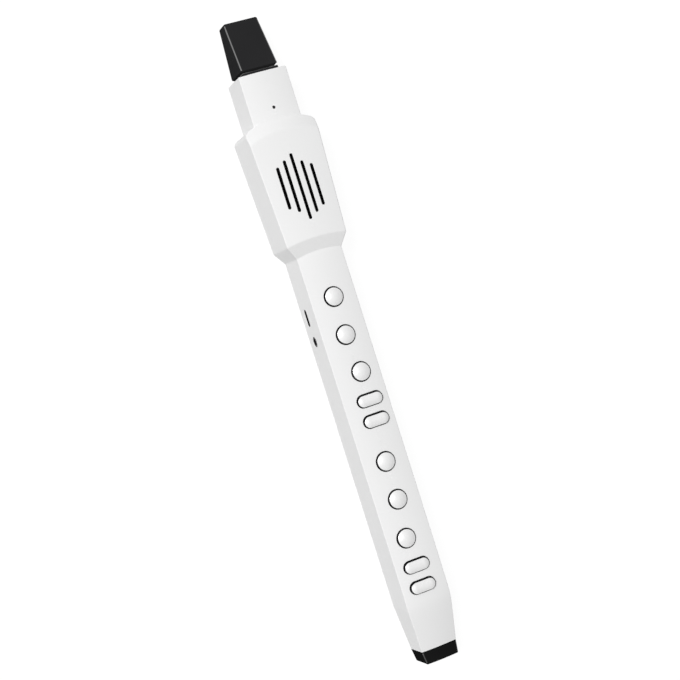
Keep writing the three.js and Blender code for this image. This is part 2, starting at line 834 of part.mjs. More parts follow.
// The black end cap closes the tail with a plug.
const capBack = tailSection.back + capBackRise;
const capSection = { ...tailSection, half: capEndWidth / 2, back: capBack };
const capFace = {
  ...capSection,
  half: capSection.half - capEndRound,
  front: capSection.front - capEndRound,
  back: capBack + capEndRound,
};
const plugInset = shellWall + seatGap;
const capPlug = drawnIn(tailSection, plugInset, tailSection.back + plugInset);
const wholeCap = joined(
  skinned([ring(capEnd, capFace), ring(capEnd + capEndRound, capSection), ring(capTop, tailSection)]),
  skinned([ring(capEnd + capEndRound, capPlug), ring(tailEnd + capPlugLength, capPlug)]),
);
addPiece('end_cap', wholeCap, blackPlastic);

// Finger keys: a domed cap with a flange that stops it under the case's front
const keyTop = tubeCrown + keyProud;
function keyFlange(radius) {
  return [[0, keyFlangeLow], [radius, keyFlangeLow], [radius, keyFlangeTop]];
}
function domed(radius, rim, dome, steps) {
  const points = [];
  for (let i = 0; i <= steps; i += 1) {
    const share = i / steps;
    points.push([radius * (1 - share), rim + dome * (1 - (1 - share) ** 2)]);
  }
  return points;
}
const roundCap = roundHoleRadius - keyGap;
for (const { name, x, y } of roundKeys) {
  const rim = keyTop - keyDome;
  const outline = [
    ...keyFlange(roundHoleRadius + flangeOverlap),
    [roundCap, keyFlangeTop],
    [roundCap, rim - keyEdgeRound],
    ...domed(roundCap - keyEdgeRound, rim, keyDome, domeSteps),
  ];
  addPiece(name, aboutZ(outline, x, y, keySteps), pearlKey);
}
const pillCap = pillOutline(pillHoleLength - 2 * keyGap, pillHoleWidth - 2 * keyGap);
const pillFlange = pillOutline(pillHoleLength + 2 * flangeOverlap, pillHoleWidth + 2 * flangeOverlap);
const pillSoftness = keyDome + keyEdgeRound;
for (const { name, x, y } of pillKeys) {
  const low = keyFlangeTop - flangeThickness / 2;
  const whole = joined(
    softPlate(pillCap, low, keyTop - keyDome / 2, pillSoftness, x, y),
    plate(pillFlange, keyFlangeLow, keyFlangeTop, endSteps, x, y),
  );
  addPiece(name, whole, pearlKey);
}

// One silicone keypad under all the finger keys, on the key board
const padHalf = insideHalf - padMargin;
const padSpan = [keyBoardSpan[0] + padMargin, keyBoardSpan[1] - padMargin];
const padLow = padTop - padThickness;
const padBumps = [...roundKeys, ...pillKeys].map(({ x, y }) =>
  post(padBumpRadius, x, y, padTop - padThickness / 2, bumpTop, screwSides),
);
const fingerPad = block([-padHalf, padSpan[0], padLow], [padHalf, padSpan[1], padTop]);
addPiece('finger_keypad', joined(fingerPad, ...padBumps), softBlack);

const boardHalf = insideHalf - boardGap;
function board(half, span, low, high) {
  return block([-half, span[0], low], [half, span[1], high]);
}
addPiece('key_board', board(boardHalf, keyBoardSpan, keyBoardLow, keyBoardTop), boardGreen);
addPiece('main_board', board(boardHalf, mainBoardSpan, mainBoardLow, mainBoardTop), boardGreen);

// Rear keys: a round thumb key between two octave keys, with their own keypad on the main board
const rearFlangeOuter = coverInner + seatGap;
const rearFlangeInner = rearFlangeOuter + flangeThickness;
const rearBumpEnd = rearFlangeInner + keyTravel + seatGap;
const rearPadInner = mainBoardLow - boardGap;
const rearPadOuter = (rearPadInner + rearBumpEnd) / 2;
const rearTop = -tubeDepth - rearKeyProud;
const thumbCap = thumbKeyRadius - keyGap;
const thumbRim = rearTop + rearKeyDome;
addPiece(
  'thumb_key',
  aboutZ(
    [
      ...domed(thumbCap - keyEdgeRound, thumbRim, -rearKeyDome, domeSteps).reverse(),
      [thumbCap, thumbRim + keyEdgeRound],
      [thumbCap, rearFlangeOuter],
      [thumbKeyRadius + flangeOverlap, rearFlangeOuter],
      [thumbKeyRadius + flangeOverlap, rearFlangeInner],
      [0, rearFlangeInner],
    ],
    0,
    -topKeyToThumbKey,
  ),
  pearlKey,
);
const octaveCap = pillOutline(octaveKeyLength - 2 * keyGap, octaveKeyWidth - 2 * keyGap);
const octaveFlange = pillOutline(
  octaveKeyLength + 2 * flangeOverlap,
  octaveKeyWidth + 2 * flangeOverlap,
);
const octaveSoftness = rearKeyDome + keyEdgeRound;
for (const { name, y } of rearKeys) {
  const inner = rearFlangeOuter + flangeThickness / 2;
  const whole = joined(
    softPlate(octaveCap, rearTop, inner, octaveSoftness, 0, y, true),
    plate(octaveFlange, rearFlangeOuter, rearFlangeInner, endSteps, 0, y),
  );
  addPiece(name, whole, pearlKey);
}
const rearPadReach = rearKeyPitch + octaveKeyWidth / 2 + padMargin;
const rearPadHalf = padHalf - padMargin;
const rearBumps = [-topKeyToThumbKey, ...rearKeys.map(({ y }) => y)].map((y) =>
  post(padBumpRadius, 0, y, rearBumpEnd, (rearPadInner + rearPadOuter) / 2, screwSides),
);
const rearPad = block(
  [-rearPadHalf, -topKeyToThumbKey - rearPadReach, rearPadOuter],
  [rearPadHalf, -topKeyToThumbKey + rearPadReach, rearPadInner],
);
addPiece('rear_keypad', joined(rearPad, ...rearBumps), softBlack);

// The sockets stand on the main board with their mouths in the left wall.
const socketFace = -tubeWidth / 2 + usbSlotGap;
const usbInner = pillOutline(usbWidth - 2 * usbShellWall, usbHeight - 2 * usbShellWall);
const usbBack = socketFace + usbLength;
const usbFloor = usbBack - usbShellWall;
const usbShell = cut(
  sideBar(pillOutline(usbWidth, usbHeight), socketFace, usbBack, -topKeyToUsb, usbHeightAt),
  sideBar(usbInner, socketFace - cutOverrun, usbFloor, -topKeyToUsb, usbHeightAt),
);
const tongueHalf = [usbTongueWidth / 2, usbTongueThickness / 2];
const usbTongue = block(
  [usbFloor - usbTongueLength, -topKeyToUsb - tongueHalf[0], usbHeightAt - tongueHalf[1]],
  [usbFloor + usbShellWall / 2, -topKeyToUsb + tongueHalf[0], usbHeightAt + tongueHalf[1]],
);
addPiece('usb_socket', joined(usbShell, usbTongue), metal);

const jackBodyFace = -insideHalf + boardGap;
const jackHalf = [jackBodyWidth / 2, jackBodyHeight / 2];
const jackBody = block(
  [jackBodyFace, -topKeyToJack - jackHalf[0], jackHeightAt - jackHalf[1]],
  [jackBodyFace + jackBodyLength, -topKeyToJack + jackHalf[0], jackHeightAt + jackHalf[1]],
);
const jackPin = (radius, low, high) => crossPin(radius, -topKeyToJack, jackHeightAt, low, high);
const wholeJack = cut(
  joined(jackBody, jackPin(jackBarrelRadius, socketFace, jackBodyFace)),
  jackPin(jackBoreRadius, socketFace - cutOverrun, socketFace + jackBoreDepth),
);
addPiece('audio_jack', wholeJack, softBlack);

// The side controls press small switches on the main board.
const buttonFace = tubeWidth / 2 + sideButtonProud;
const sideFlangeOuter = insideHalf - seatGap;
const rockerFlangeOuter = insideHalf - rockerGap;
const rockerFlangeInner = rockerFlangeOuter - flangeThickness;
function sideControl(length, flangeOuter, y) {
  const cap = pillOutline(length - 2 * sideButtonGap, sideButtonWidth - 2 * sideButtonGap);
  const flange = pillOutline(length + 2 * sideFlangeOverlap, sideButtonWidth + 2 * sideFlangeOverlap);
  const flangeInner = flangeOuter - flangeThickness;
  return joined(
    sideBar(cap, flangeOuter - flangeThickness / 2, buttonFace, y, sideHeight),
    sideBar(flange, flangeInner, flangeOuter, y, sideHeight),
  );
}
const powerButton = sideControl(powerButtonLength, sideFlangeOuter, -topKeyToPower);
addPiece('power_button', powerButton, softBlack);
const volumeRocker = sideControl(volumeRockerLength, rockerFlangeOuter, -topKeyToVolume);
addPiece('volume_rocker', volumeRocker, softBlack);

const plungerTip = rockerFlangeInner - sideTravel - seatGap / 2;
const switchFace = plungerTip - sidePlungerLength;
const switchPlaces = [
  { name: 'power_switch', y: -topKeyToPower },
  { name: 'volume_up_switch', y: -topKeyToVolume + rockerPadSpacing / 2 },
  { name: 'volume_down_switch', y: -topKeyToVolume - rockerPadSpacing / 2 },
];
for (const { name, y } of switchPlaces) {
  const housing = block(
    [switchFace - sideSwitchLength, y - sideSwitchWidth / 2, mainBoardTop + boardGap],
    [switchFace, y + sideSwitchWidth / 2, sideHeight + sideButtonWidth / 2],
  );
  const plungerFoot = switchFace - sidePlungerLength;
  const plunger = crossPin(sidePlungerRadius, y, sideHeight, plungerFoot, plungerTip);
  addPiece(name, joined(housing, plunger), darkMetal);
}

// The speaker hangs behind the grille: dust screen, gasket, basket with its magnet, and cone. The
// dust screen has ribs that stand in the slots, just below the face.
function speakerPlate(inset, low, high) {
  const outline = pillOutline(speakerLength - 2 * inset, speakerWidth - 2 * inset, true);
  return plate(outline, low, high, endSteps, 0, topKeyToGrille);
}
const gasketTop = housingCeiling - seatGap;
const gasketLow = gasketTop - gasketThickness;
const basketTop = gasketLow - seatGap;
const basketLow = basketTop - basketDepth;
const screenInset = gasketBorder + seatGap;
const screenLow = gasketTop - screenThickness;
const screenRibs = slotPlates(screenRibGap, screenLow, housingProud - screenRibSink);
const dustScreen = joined(speakerPlate(screenInset, screenLow, gasketTop), ...screenRibs);
addPiece('dust_screen', dustScreen, softBlack);

const gasket = cut(
  speakerPlate(0, gasketLow, gasketTop),
  speakerPlate(gasketBorder, gasketLow - cutOverrun, gasketTop + cutOverrun),
);
addPiece('speaker_gasket', gasket, softBlack);

const bowl = joined(
  speakerPlate(0, basketTop - basketFlange, basketTop),
  speakerPlate(gasketBorder - basketWall, basketLow, basketTop - basketFlange / 2),
);
const bowlHollow = speakerPlate(gasketBorder, basketLow + basketWall, basketTop + cutOverrun);
const magnetLow = basketLow - magnetThickness;
const magnet = post(magnetRadius, 0, topKeyToGrille, magnetLow, basketLow + basketWall / 2);
addPiece('speaker_basket', joined(cut(bowl, bowlHollow), magnet), darkMetal);

const coneHalfWidth = speakerWidth / 2 - gasketBorder - seatGap;
const coneStraight = (speakerLength - speakerWidth) / 2;
function coneRing(radius, straight, z) {
  const points = [];
  for (let i = 0; i < ringSteps; i += 1) {
    const turn = (2 * Math.PI * (i + 1 / 2)) / ringSteps;
    const y = topKeyToGrille + radius * Math.sin(turn) + Math.sign(Math.sin(turn)) * straight;
    points.push(new THREE.Vector3(radius * Math.cos(turn), y, z));
  }
  return points;
}
function coneBody(top, low) {
  return skinned([coneRing(coneNeckRadius, 0, low), coneRing(coneHalfWidth, coneStraight, top)]);
}
const coneTop = basketTop - coneThickness;
const coneHollow = skinned([
  coneRing(coneNeckRadius - coneThickness, 0, coneTop - coneDepth + coneThickness),
  coneRing(coneHalfWidth - coneThickness, coneStraight, coneTop),
  coneRing(coneHalfWidth - coneThickness, coneStraight, basketTop),
]);
addPiece('speaker_cone', cut(coneBody(coneTop, coneTop - coneDepth), coneHollow), paperCone);

// The status light: a smoked pin that ends flush in the head, over a small lamp on its board
const pinFlangeTop = ceiling - boardGap;
addPiece(
  'status_lens',
  aboutZ(
    [
      [0, pinFlangeTop - lightFlangeThickness],
      [lightFlangeRadius, pinFlangeTop - lightFlangeThickness],
      [lightFlangeRadius, pinFlangeTop],
      [lightHoleRadius - lightGap, pinFlangeTop],
      [lightHoleRadius - lightGap, tubeCrown - lightGap],
      [0, tubeCrown - lightGap],
    ],
    0,
    topKeyToLight,
  ),
  smoked,
);
const headBoardHalf = headInsideHalf - boardGap;
const headBoard = board(headBoardHalf, headBoardSpan, headBoardLow, headBoardTop);
addPiece('head_board', headBoard, boardGreen);
const lamp = block(
  [-ledSize / 2, topKeyToLight - ledSize / 2, headBoardTop + boardGap],
  [ledSize / 2, topKeyToLight + ledSize / 2, pinFlangeTop - lightFlangeThickness - seatGap],
);
addPiece('status_lamp', lamp, metal);

// The breath path: pressure sensor under the head board, hose, spigot, seal and mouthpiece
const spigotFlangeHigh = headInnerEnd - seatGap;
const spigotFlangeLow = spigotFlangeHigh - spigotFlangeThickness;
const barbEnd = spigotFlangeLow - barbLength;
const sensorFace = barbEnd - boardGap - barbLength;
const sensorTop = headBoardLow - boardGap;
const breathPin = (radius, low, high) => lengthPin(radius, 0, breathHeight, low, high);
const sensorBody = block(
  [-sensorSize / 2, sensorFace - sensorSize, sensorTop - sensorHeight],
  [sensorSize / 2, sensorFace, sensorTop],
);
const sensorBarbEnd = sensorFace + barbLength;
const wholeSensor = cut(
  joined(sensorBody, breathPin(barbRadius, sensorFace - boardGap, sensorBarbEnd)),
  breathPin(barbBoreRadius, sensorFace - sensorSize / 2, sensorBarbEnd + cutOverrun),
);
addPiece('pressure_sensor', wholeSensor, softBlack);

const hoseEnds = [sensorFace + boardGap, spigotFlangeLow - boardGap];
const hoseRadius = hoseBoreRadius + hoseWall;
const hoseOutline = [
  [hoseBoreRadius, hoseEnds[0]],
  [hoseRadius, hoseEnds[0]],
  [hoseRadius, hoseEnds[1]],
  [hoseBoreRadius, hoseEnds[1]],
  [hoseBoreRadius, hoseEnds[0]],
];
addPiece('breath_hose', aboutY(hoseOutline, breathHeight), greySilicone);

const spigotEnd = headTop + spigotLength;
const grooveLow = headTop + sealFromHead;
const grooveHigh = grooveLow + sealThickness + 2 * boardGap;
const grooveRadius = spigotRadius - sealGrooveDepth;
const boreStart = spigotFlangeLow + spigotFlangeThickness / 2;
const spigotOutline = [
  [barbBoreRadius, barbEnd],
  [barbRadius, barbEnd],
  [barbRadius, spigotFlangeLow],
  [spigotFlangeRadius, spigotFlangeLow],
  [spigotFlangeRadius, spigotFlangeHigh],
  [spigotRadius, spigotFlangeHigh],
  [spigotRadius, grooveLow],
  [grooveRadius, grooveLow],
  [grooveRadius, grooveHigh],
  [spigotRadius, grooveHigh],
  [spigotRadius, spigotEnd],
  [spigotBoreRadius, spigotEnd],
  [spigotBoreRadius, boreStart],
  [barbBoreRadius, boreStart],
  [barbBoreRadius, barbEnd],
];
addPiece('breath_spigot', aboutY(spigotOutline, breathHeight), blackPlastic);
const sealRadius = sealThickness / 2;
const sealMiddle = grooveRadius + boardGap + sealRadius;
const sealShape = new THREE.TorusGeometry(sealMiddle, sealRadius, screwSides / 2, ringSteps);
sealShape.rotateX(Math.PI / 2);
sealShape.translate(0, (grooveLow + grooveHigh) / 2, breathHeight);
addPiece('spigot_seal', solid(sealShape), greySilicone);

// Share 0 is the mouthpiece's base and 1 its tip.
const mouthSpan = mouthTip - mouthFoot;
function mouthForm(share, inset = 0, lift = 0) {
  return {
    half: THREE.MathUtils.lerp(mouthBaseWidth, mouthTipWidth, share) / 2 - inset,
    front: -THREE.MathUtils.lerp(mouthBaseFront, mouthTipFront, share) - inset,
    back: -THREE.MathUtils.lerp(mouthBaseBack, mouthTipBack, share) + inset + lift,
    frontRound: mouthEdgeRadius,
    backRound: mouthEdgeRadius,
  };
}
const mouthRing = (y, inset, lift) => ring(y, mouthForm((y - mouthFoot) / mouthSpan, inset, lift));
const tipBend = mouthTip - mouthTipRound * tipRunShare;
const mouthOuter = skinned([
  mouthRing(mouthFoot, mouthBaseChamfer, 0),
  mouthRing(mouthFoot + mouthBaseChamferHeight, 0, 0),
  mouthRing(mouthTip - mouthTipRound, 0, 0),
  mouthRing(tipBend, mouthTipInset * tipInsetShare, mouthTipRound * tipLiftShare),
  mouthRing(mouthTip, mouthTipInset, mouthTipRound),
]);
const socketEnd = spigotEnd + socketGap;
const socket = breathPin(spigotRadius + socketGap, mouthFoot - cutOverrun, socketEnd);
const airHeight = -(mouthTipFront + mouthTipBack) / 2;
const airSlot = block(
  [-airSlotWidth / 2, socketEnd - cutOverrun, airHeight - airSlotHeight / 2],
  [airSlotWidth / 2, mouthTip + cutOverrun, airHeight + airSlotHeight / 2],
);
addPiece('mouthpiece', cut(mouthOuter, socket, airSlot), blackPlastic);

// The battery pack lies on the rear cover, below the main board.
const batteryLow = coverInner + seatGap;
const batteryTop = batteryLow + batteryThickness;
const batteryOutline = roundedOutline(batteryWidth, batteryLength, batteryCorner);
const batteryY = -topKeyToBattery - batteryLength / 2;
const battery = softPlate(batteryOutline, batteryLow, batteryTop, batteryEdge, 0, batteryY);
addPiece('battery_pack', battery, foil);

// Cover screws, which end just short of the bottom of their lugs' holes
const screwTip = lugHoleEnd - seatGap;
function screw({ x, y, proud }) {
  const face = -tubeDepth - proud + screwSink;
  const headEnd = face + screwHeadHeight;
  const slot = (width, length) =>
    block(
      [x - width / 2, y - length / 2, face - cutOverrun],
      [x + width / 2, y + length / 2, face + driveDepth],
    );
  return cut(
    joined(
      post(screwHeadRadius, x, y, face, headEnd, screwSides),
      post(screwShankRadius, x, y, headEnd - boardGap, screwTip, screwSides / 2),
    ),
    slot(driveLength, driveWidth),
    slot(driveWidth, driveLength),
  );
}
screwPlaces.forEach((place, i) => addPiece(`cover_screw_${i + 1}`, screw(place), darkMetal));

// Leads from the speaker and the battery to the main board, and the ribbon from the head
function lead(points) {
  const path = new THREE.CatmullRomCurve3(points.map((p) => new THREE.Vector3(...p)));
  const outline = new THREE.Shape();
  outline.absarc(0, 0, leadRadius, 0, 2 * Math.PI, false);
  const settings = {
    extrudePath: path,
    steps: leadSteps,
    bevelEnabled: false,
    curveSegments: leadSides,
  };
  return solid(new THREE.ExtrudeGeometry(outline, settings));
}
const boardRest = mainBoardTop + leadRadius + 2 * boardGap;
const speakerEdge = topKeyToGrille - speakerLength / 2 + gasketBorder - basketWall;
const speakerLeadStart = speakerEdge - leadRadius;
const speakerDrop = speakerLeadStart - mainBoardSpan[1];
const speakerLead = (x) => lead([
  [x, speakerLeadStart, basketTop - basketFlange - 2 * leadRadius],
  [x, speakerLeadStart - speakerDrop / 6, basketTop - basketFlange - 3 * leadRadius],
  [x, speakerLeadStart - speakerDrop / 2, (basketLow + boardRest) / 2],
  [x, mainBoardSpan[1] + leadRadius, boardRest + 2 * leadRadius],
  [x, mainBoardSpan[1] - 3 * leadRadius, boardRest + leadRadius / 2],
  [x, mainBoardSpan[1] - 6 * leadRadius, boardRest],
]);
addPiece('speaker_lead_1', speakerLead(-leadSpacing / 2), softBlack);
addPiece('speaker_lead_2', speakerLead(-1.5 * leadSpacing), softBlack);
const batteryTopEnd = -topKeyToBattery;
const batteryDrop = mainBoardSpan[0] - batteryTopEnd;
const batteryMiddle = batteryLow + batteryThickness / 2;
const batteryLead = (x) => lead([
  [x, batteryTopEnd + boardGap, batteryMiddle],
  [x, batteryTopEnd + batteryDrop / 6, batteryMiddle],
  [x, batteryTopEnd + batteryDrop / 2, (batteryMiddle + boardRest) / 2 + leadRadius],
  [x, mainBoardSpan[0] - leadRadius, boardRest + leadRadius],
  [x, mainBoardSpan[0] + 3 * leadRadius, boardRest],
  [x, mainBoardSpan[0] + 6 * leadRadius, boardRest],
]);
addPiece('battery_lead_1', batteryLead(-leadSpacing / 2), softBlack);
addPiece('battery_lead_2', batteryLead(leadSpacing / 2), softBlack);

const ribbonX = boardHalf - railWidth - ribbonWidth / 2;
const ribbonDip = magnetLow - ribbonWidth / 3;
const ribbonRoute = [
  [headBoardSpan[0] + ribbonWidth / 2, headBoardLow - boardGap - ribbonThickness / 2],
  [headBoardSpan[0] - boardGap, headBoardLow - 2 * ribbonThickness],
  [topKeyToGrille + speakerLength / 2, ribbonDip],
  [topKeyToGrille - speakerLength / 2, ribbonDip],
  [mainBoardSpan[1] + ribbonWidth / 4, mainBoardTop + 4 * ribbonThickness],
  [mainBoardSpan[1] - ribbonWidth / 2, mainBoardTop + boardGap + ribbonThickness],
];
const ribbonPath = new THREE.CatmullRomCurve3(ribbonRoute.map(([y, z]) => new THREE.Vector3(0, y, z)));
const ribbonPoints = ribbonPath.getPoints(2 * leadSteps);
const ribbonOutline = new THREE.Shape([
  ...ribbonPoints.map((p) => new THREE.Vector2(p.y, p.z - ribbonThickness / 2)),
  ...ribbonPoints.map((p) => new THREE.Vector2(p.y, p.z + ribbonThickness / 2)).reverse(),
]);
const ribbonSpan = [ribbonX - ribbonWidth / 2, ribbonX + ribbonWidth / 2];
addPiece('head_ribbon', sideBar(ribbonOutline, ...ribbonSpan, 0, 0), whitePlastic);

export default instrument;
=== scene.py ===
"""A slim digital wind controller lying on its back. Lengths are in metres. X runs across the
instrument, +Y towards the mouthpiece and +Z out of the face with the finger keys."""

import math

import bmesh
import bpy
from mathutils import Matrix, Vector


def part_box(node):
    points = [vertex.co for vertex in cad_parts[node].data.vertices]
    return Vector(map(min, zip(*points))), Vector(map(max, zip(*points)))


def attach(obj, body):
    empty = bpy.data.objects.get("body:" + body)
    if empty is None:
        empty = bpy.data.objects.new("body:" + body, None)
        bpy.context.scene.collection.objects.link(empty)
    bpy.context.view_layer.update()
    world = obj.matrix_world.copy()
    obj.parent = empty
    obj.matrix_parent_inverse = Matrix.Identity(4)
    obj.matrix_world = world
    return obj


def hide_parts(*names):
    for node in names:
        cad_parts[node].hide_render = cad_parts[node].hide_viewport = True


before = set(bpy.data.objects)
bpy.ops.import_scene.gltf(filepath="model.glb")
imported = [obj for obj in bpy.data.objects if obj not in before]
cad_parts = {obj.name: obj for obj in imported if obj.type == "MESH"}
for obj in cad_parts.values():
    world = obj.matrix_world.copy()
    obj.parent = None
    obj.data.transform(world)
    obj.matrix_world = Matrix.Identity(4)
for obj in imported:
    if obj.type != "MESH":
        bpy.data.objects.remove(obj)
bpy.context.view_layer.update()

# White case
# One satin ABS moulding: a tube with a tapered tail, a speaker housing with an arched top, and the
# head. Its face is slightly crowned, its edges are soft, and its surface has a fine mould grain.
tube_half, tube_back, tube_front, crown = 0.01245, 0.0020, 0.0262, 0.0010
tail_half, tail_back, tail_front, tail_crown, tail_draft = 0.00995, 0.0022, 0.0189, 0.0007, 0.0003
tail_end, taper_top, tube_end = -0.16685, -0.14245, 0.070
tube_rounds, taper_softness, side_softness = (0.0013, 0.0003), 0.25, 0.02
housing_foot, bevel_end, housing_top = 0.04695, 0.05355, 0.11975
foot_half, top_half, housing_front = 0.01650, 0.01945, 0.02927
housing_rounds, arch_rim_share, shoulder = (0.0016, 0.0004), 0.45, 0.0017
arch_centre, arch_edge, arch_slope, arch_least_radius = 0.07975, 0.0267, 0.48, 0.022
arch_start, arch_reach = 0.080, 0.026
bevel_lean, lean_start, lean_fade = 1.6, 1.3, 1.5
ramp_sink, crease, side_crease = 0.0006, 0.00012, 0.0002
head_half, head_start, head_top, head_end_wall = 0.01305, 0.090, 0.14395, 0.0024
head_edge, head_plain_end = 0.0004, 0.002
wall, cover_gap = 0.0018, 0.00025
middle_height = (tube_back + tube_front) / 2

# Steps between slices, across and along. Between the rim rows, the arch's edge needs close ones.
tube_steps, wide_steps = (0.0011, 0.0022), (0.0012, 0.0024)
rim_rows, rim_step, arch_step = (0.1112, 0.1156), 0.0003, 0.0008

# Points nearer than a hair are one, and a cutter runs past what it cuts by the overcut.
hair, overcut = 1e-6, 0.001


def between(first, last, step):
    """Places between two ends, about a step apart."""
    count = max(1, round((last - first) / step))
    return [first + (last - first) * i / count for i in range(1, count)]


def about(place, reach=0.0009, step=0.0003):
    """Close places on both sides of a bend."""
    return [place - reach, *between(place - reach, place + reach, step), place + reach]


def clamped(share):
    return min(1.0, max(0.0, share))


def soft_max(a, b, softness):
    return (a + b + math.sqrt((a - b) ** 2 + softness**2)) / 2


def soft_min(a, b, softness):
    return -soft_max(-a, -b, softness)


def rounded(bm, edges, radius, segments=5):
    bmesh.ops.bevel(bm, geom=edges, offset=radius, segments=segments, profile=0.5, affect="EDGES",
                    material=-1)


def slab(low, high, bm=None):
    """A box between two corners."""
    bm = bm or bmesh.new()
    fresh = bmesh.ops.create_cube(bm, size=1)["verts"]
    bmesh.ops.scale(bm, vec=Vector(high) - Vector(low), verts=fresh)
    bmesh.ops.translate(bm, vec=(Vector(high) + Vector(low)) / 2, verts=fresh)
    return bm


def rim_at(bm, axis, level):
    """The edges that lie wholly at one level of an axis: 0 is X, 1 is Y and 2 is Z."""
    return [e for e in bm.edges if all(abs(v.co[axis] - level) < hair for v in e.verts)]


def at_one_x(edges):
    return [e for e in edges if abs(e.verts[0].co.x - e.verts[1].co.x) < hair]


def block(half, span, depth, rounds=(0, 0), corners=0.0, columns=0.0, rows=()):
    """A bar with rounded back and front edges, sliced so that it can be bent. Where corners is
    set, its top corners are rounded too, and the edges run on round them."""
    bm = slab((-half, span[0], depth[0]), (half, span[1], depth[1]))
    if corners:
        rounded(bm, at_one_x(rim_at(bm, 1, span[1])), corners, 6)
    for level, radius in zip(depth, rounds):
        if radius:
            rim = rim_at(bm, 2, level)
            rounded(bm, rim if corners else at_one_x(rim), radius)
    sliced(bm, between(-half, half, columns) if columns else (), rows)
    return bm


def sliced(bm, columns, rows):
    for normal, places in (((1, 0, 0), columns), ((0, 1, 0), rows)):
        for place in places:
            whole = bm.verts[:] + bm.edges[:] + bm.faces[:]
            bmesh.ops.bisect_plane(bm, geom=whole, dist=hair, plane_co=Vector(normal) * place,
                                   plane_no=normal)


def bent(bm, shape):
    for v in bm.verts:
        v.co = shape(*v.co)
    return bm


sharp_angle = math.radians(32)


def part(name, bm):
    """Makes an object of a bmesh. Its sharp edges are marked when it is fitted."""
    mesh = bpy.data.meshes.new(name)
    bm.to_mesh(mesh)
    bm.free()
    made = bpy.data.objects.new(name, mesh)
    bpy.context.scene.collection.objects.link(made)
    mesh.shade_smooth()
    return made


def worked(base, operation, *tools):
    """Joins the tools to the base with UNION, or cuts them out of it with DIFFERENCE."""
    for tool in tools:
        step = base.modifiers.new(tool.name, "BOOLEAN")
        step.object, step.operation, step.solver = tool, operation, "MANIFOLD"
    result = base.evaluated_get(bpy.context.evaluated_depsgraph_get())
    shaped = bpy.data.meshes.new_from_object(result)
    base.modifiers.clear()
    base.data = shaped
    for tool in tools:
        bpy.data.objects.remove(tool)


def fitted(piece, body, node, finish):
    """The piece moves with the body and stands for the node, in the slot's finish."""
    piece.data.materials.clear()
    piece.data.materials.append(finish)
    piece.data.set_sharp_from_angle(angle=sharp_angle)
    piece.modifiers.new("even_shading", "WEIGHTED_NORMAL").keep_sharp = True
    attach(piece, body)
    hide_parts(node)


def wired(tree, kind, inputs=None, **settings):
    """Adds a shader node. Each input takes a value, or another node's socket."""
    node = tree.nodes.new(kind)
    for name, value in settings.items():
        setattr(node, name, value)
    for name, value in (inputs or {}).items():
        if isinstance(value, bpy.types.NodeSocket):
            tree.links.new(value, node.inputs[name])
        else:
            node.inputs[name].default_value = value
    return node


def blended(tree, share, first, second):
    """A colour between two others, where each may be a colour or a socket."""
    ends = [c if isinstance(c, bpy.types.NodeSocket) else (*c, 1) for c in (first, second)]
    mix = wired(tree, "ShaderNodeMix", data_type="RGBA")
    for at, value in zip((0, 6, 7), (share, *ends)):
        if isinstance(value, bpy.types.NodeSocket):
            tree.links.new(value, mix.inputs[at])
        else:
            mix.inputs[at].default_value = value
    return mix.outputs[2]


def node_group(name, inputs, outputs):
    """An empty shader node group with named sockets, and its two ends."""
    tree = bpy.data.node_groups.new(name, "ShaderNodeTree")
    for way, sockets in (("INPUT", inputs), ("OUTPUT", outputs)):
        for label, kind in sockets:
            tree.interface.new_socket(label, in_out=way, socket_type="NodeSocket" + kind)
    return tree, tree.nodes.new("NodeGroupInput"), tree.nodes.new("NodeGroupOutput")


def filled(tree, out, **sockets):
    for name, socket in sockets.items():
        tree.links.new(socket, out.inputs[name])


def new_finish(name, fixed):
    """A material, its tree, its shader and the place on the piece that its patterns read."""
    made = bpy.data.materials.new(name)
    made.use_nodes = True
    tree = made.node_tree
    shader = tree.nodes["Principled BSDF"]
    for socket, value in fixed.items():
        shader.inputs[socket].default_value = value
    return made, tree, shader, wired(tree, "ShaderNodeTexCoord").outputs["Object"]


def surfaced(tree, shader, colour, height, depth, rough, swing=0.04):
    """Links colour, a roughness that follows the height, and a bump of the height's depth."""
    tree.links.new(colour, shader.inputs["Base Color"])
    roughness = wired(tree, "ShaderNodeMapRange", {
        "Value": height, "To Min": rough - swing, "To Max": rough + swing})
    tree.links.new(roughness.outputs["Result"], shader.inputs["Roughness"])
    bump = wired(tree, "ShaderNodeBump", {"Height": height, "Distance": depth})
    tree.links.new(bump.outputs["Normal"], shader.inputs["Normal"])


mould_grain, grain_in, grain_out = node_group(
    "mould_grain",
    [("Place", "Vector"), ("Grains per Metre", "Float"), ("Patches per Metre", "Float")],
    [("Height", "Float"), ("Patch", "Float")])
fine = wired(mould_grain, "ShaderNodeTexNoise", {
    "Vector": grain_in.outputs["Place"], "Scale": grain_in.outputs["Grains per Metre"],
    "Detail": 2.0})
broad = wired(mould_grain, "ShaderNodeTexNoise", {
    "Vector": grain_in.outputs["Place"], "Scale": grain_in.outputs["Patches per Metre"],
    "Detail": 1.0})
filled(mould_grain, grain_out, Height=fine.outputs["Fac"], Patch=broad.outputs["Fac"])


def moulded(name, first, second, rough, grains=2500.0, depth=6e-6, patches=30.0, fixed=None):
    """Moulded plastic or rubber: two close colours in broad patches, under a fine grain."""
    made, tree, shader, place = new_finish(name, fixed or {})
    grain = wired(tree, "ShaderNodeGroup", node_tree=mould_grain)
    tree.links.new(place, grain.inputs["Place"])
    grain.inputs["Grains per Metre"].default_value = grains
    grain.inputs["Patches per Metre"].default_value = patches
    colour = blended(tree, grain.outputs["Patch"], first, second)
    surfaced(tree, shader, colour, grain.outputs["Height"], depth, rough)
    return made


satin_white = moulded("satin_white", (0.835, 0.835, 0.835), (0.865, 0.865, 0.865), rough=0.55,
                      fixed={"Specular IOR Level": 0.2})


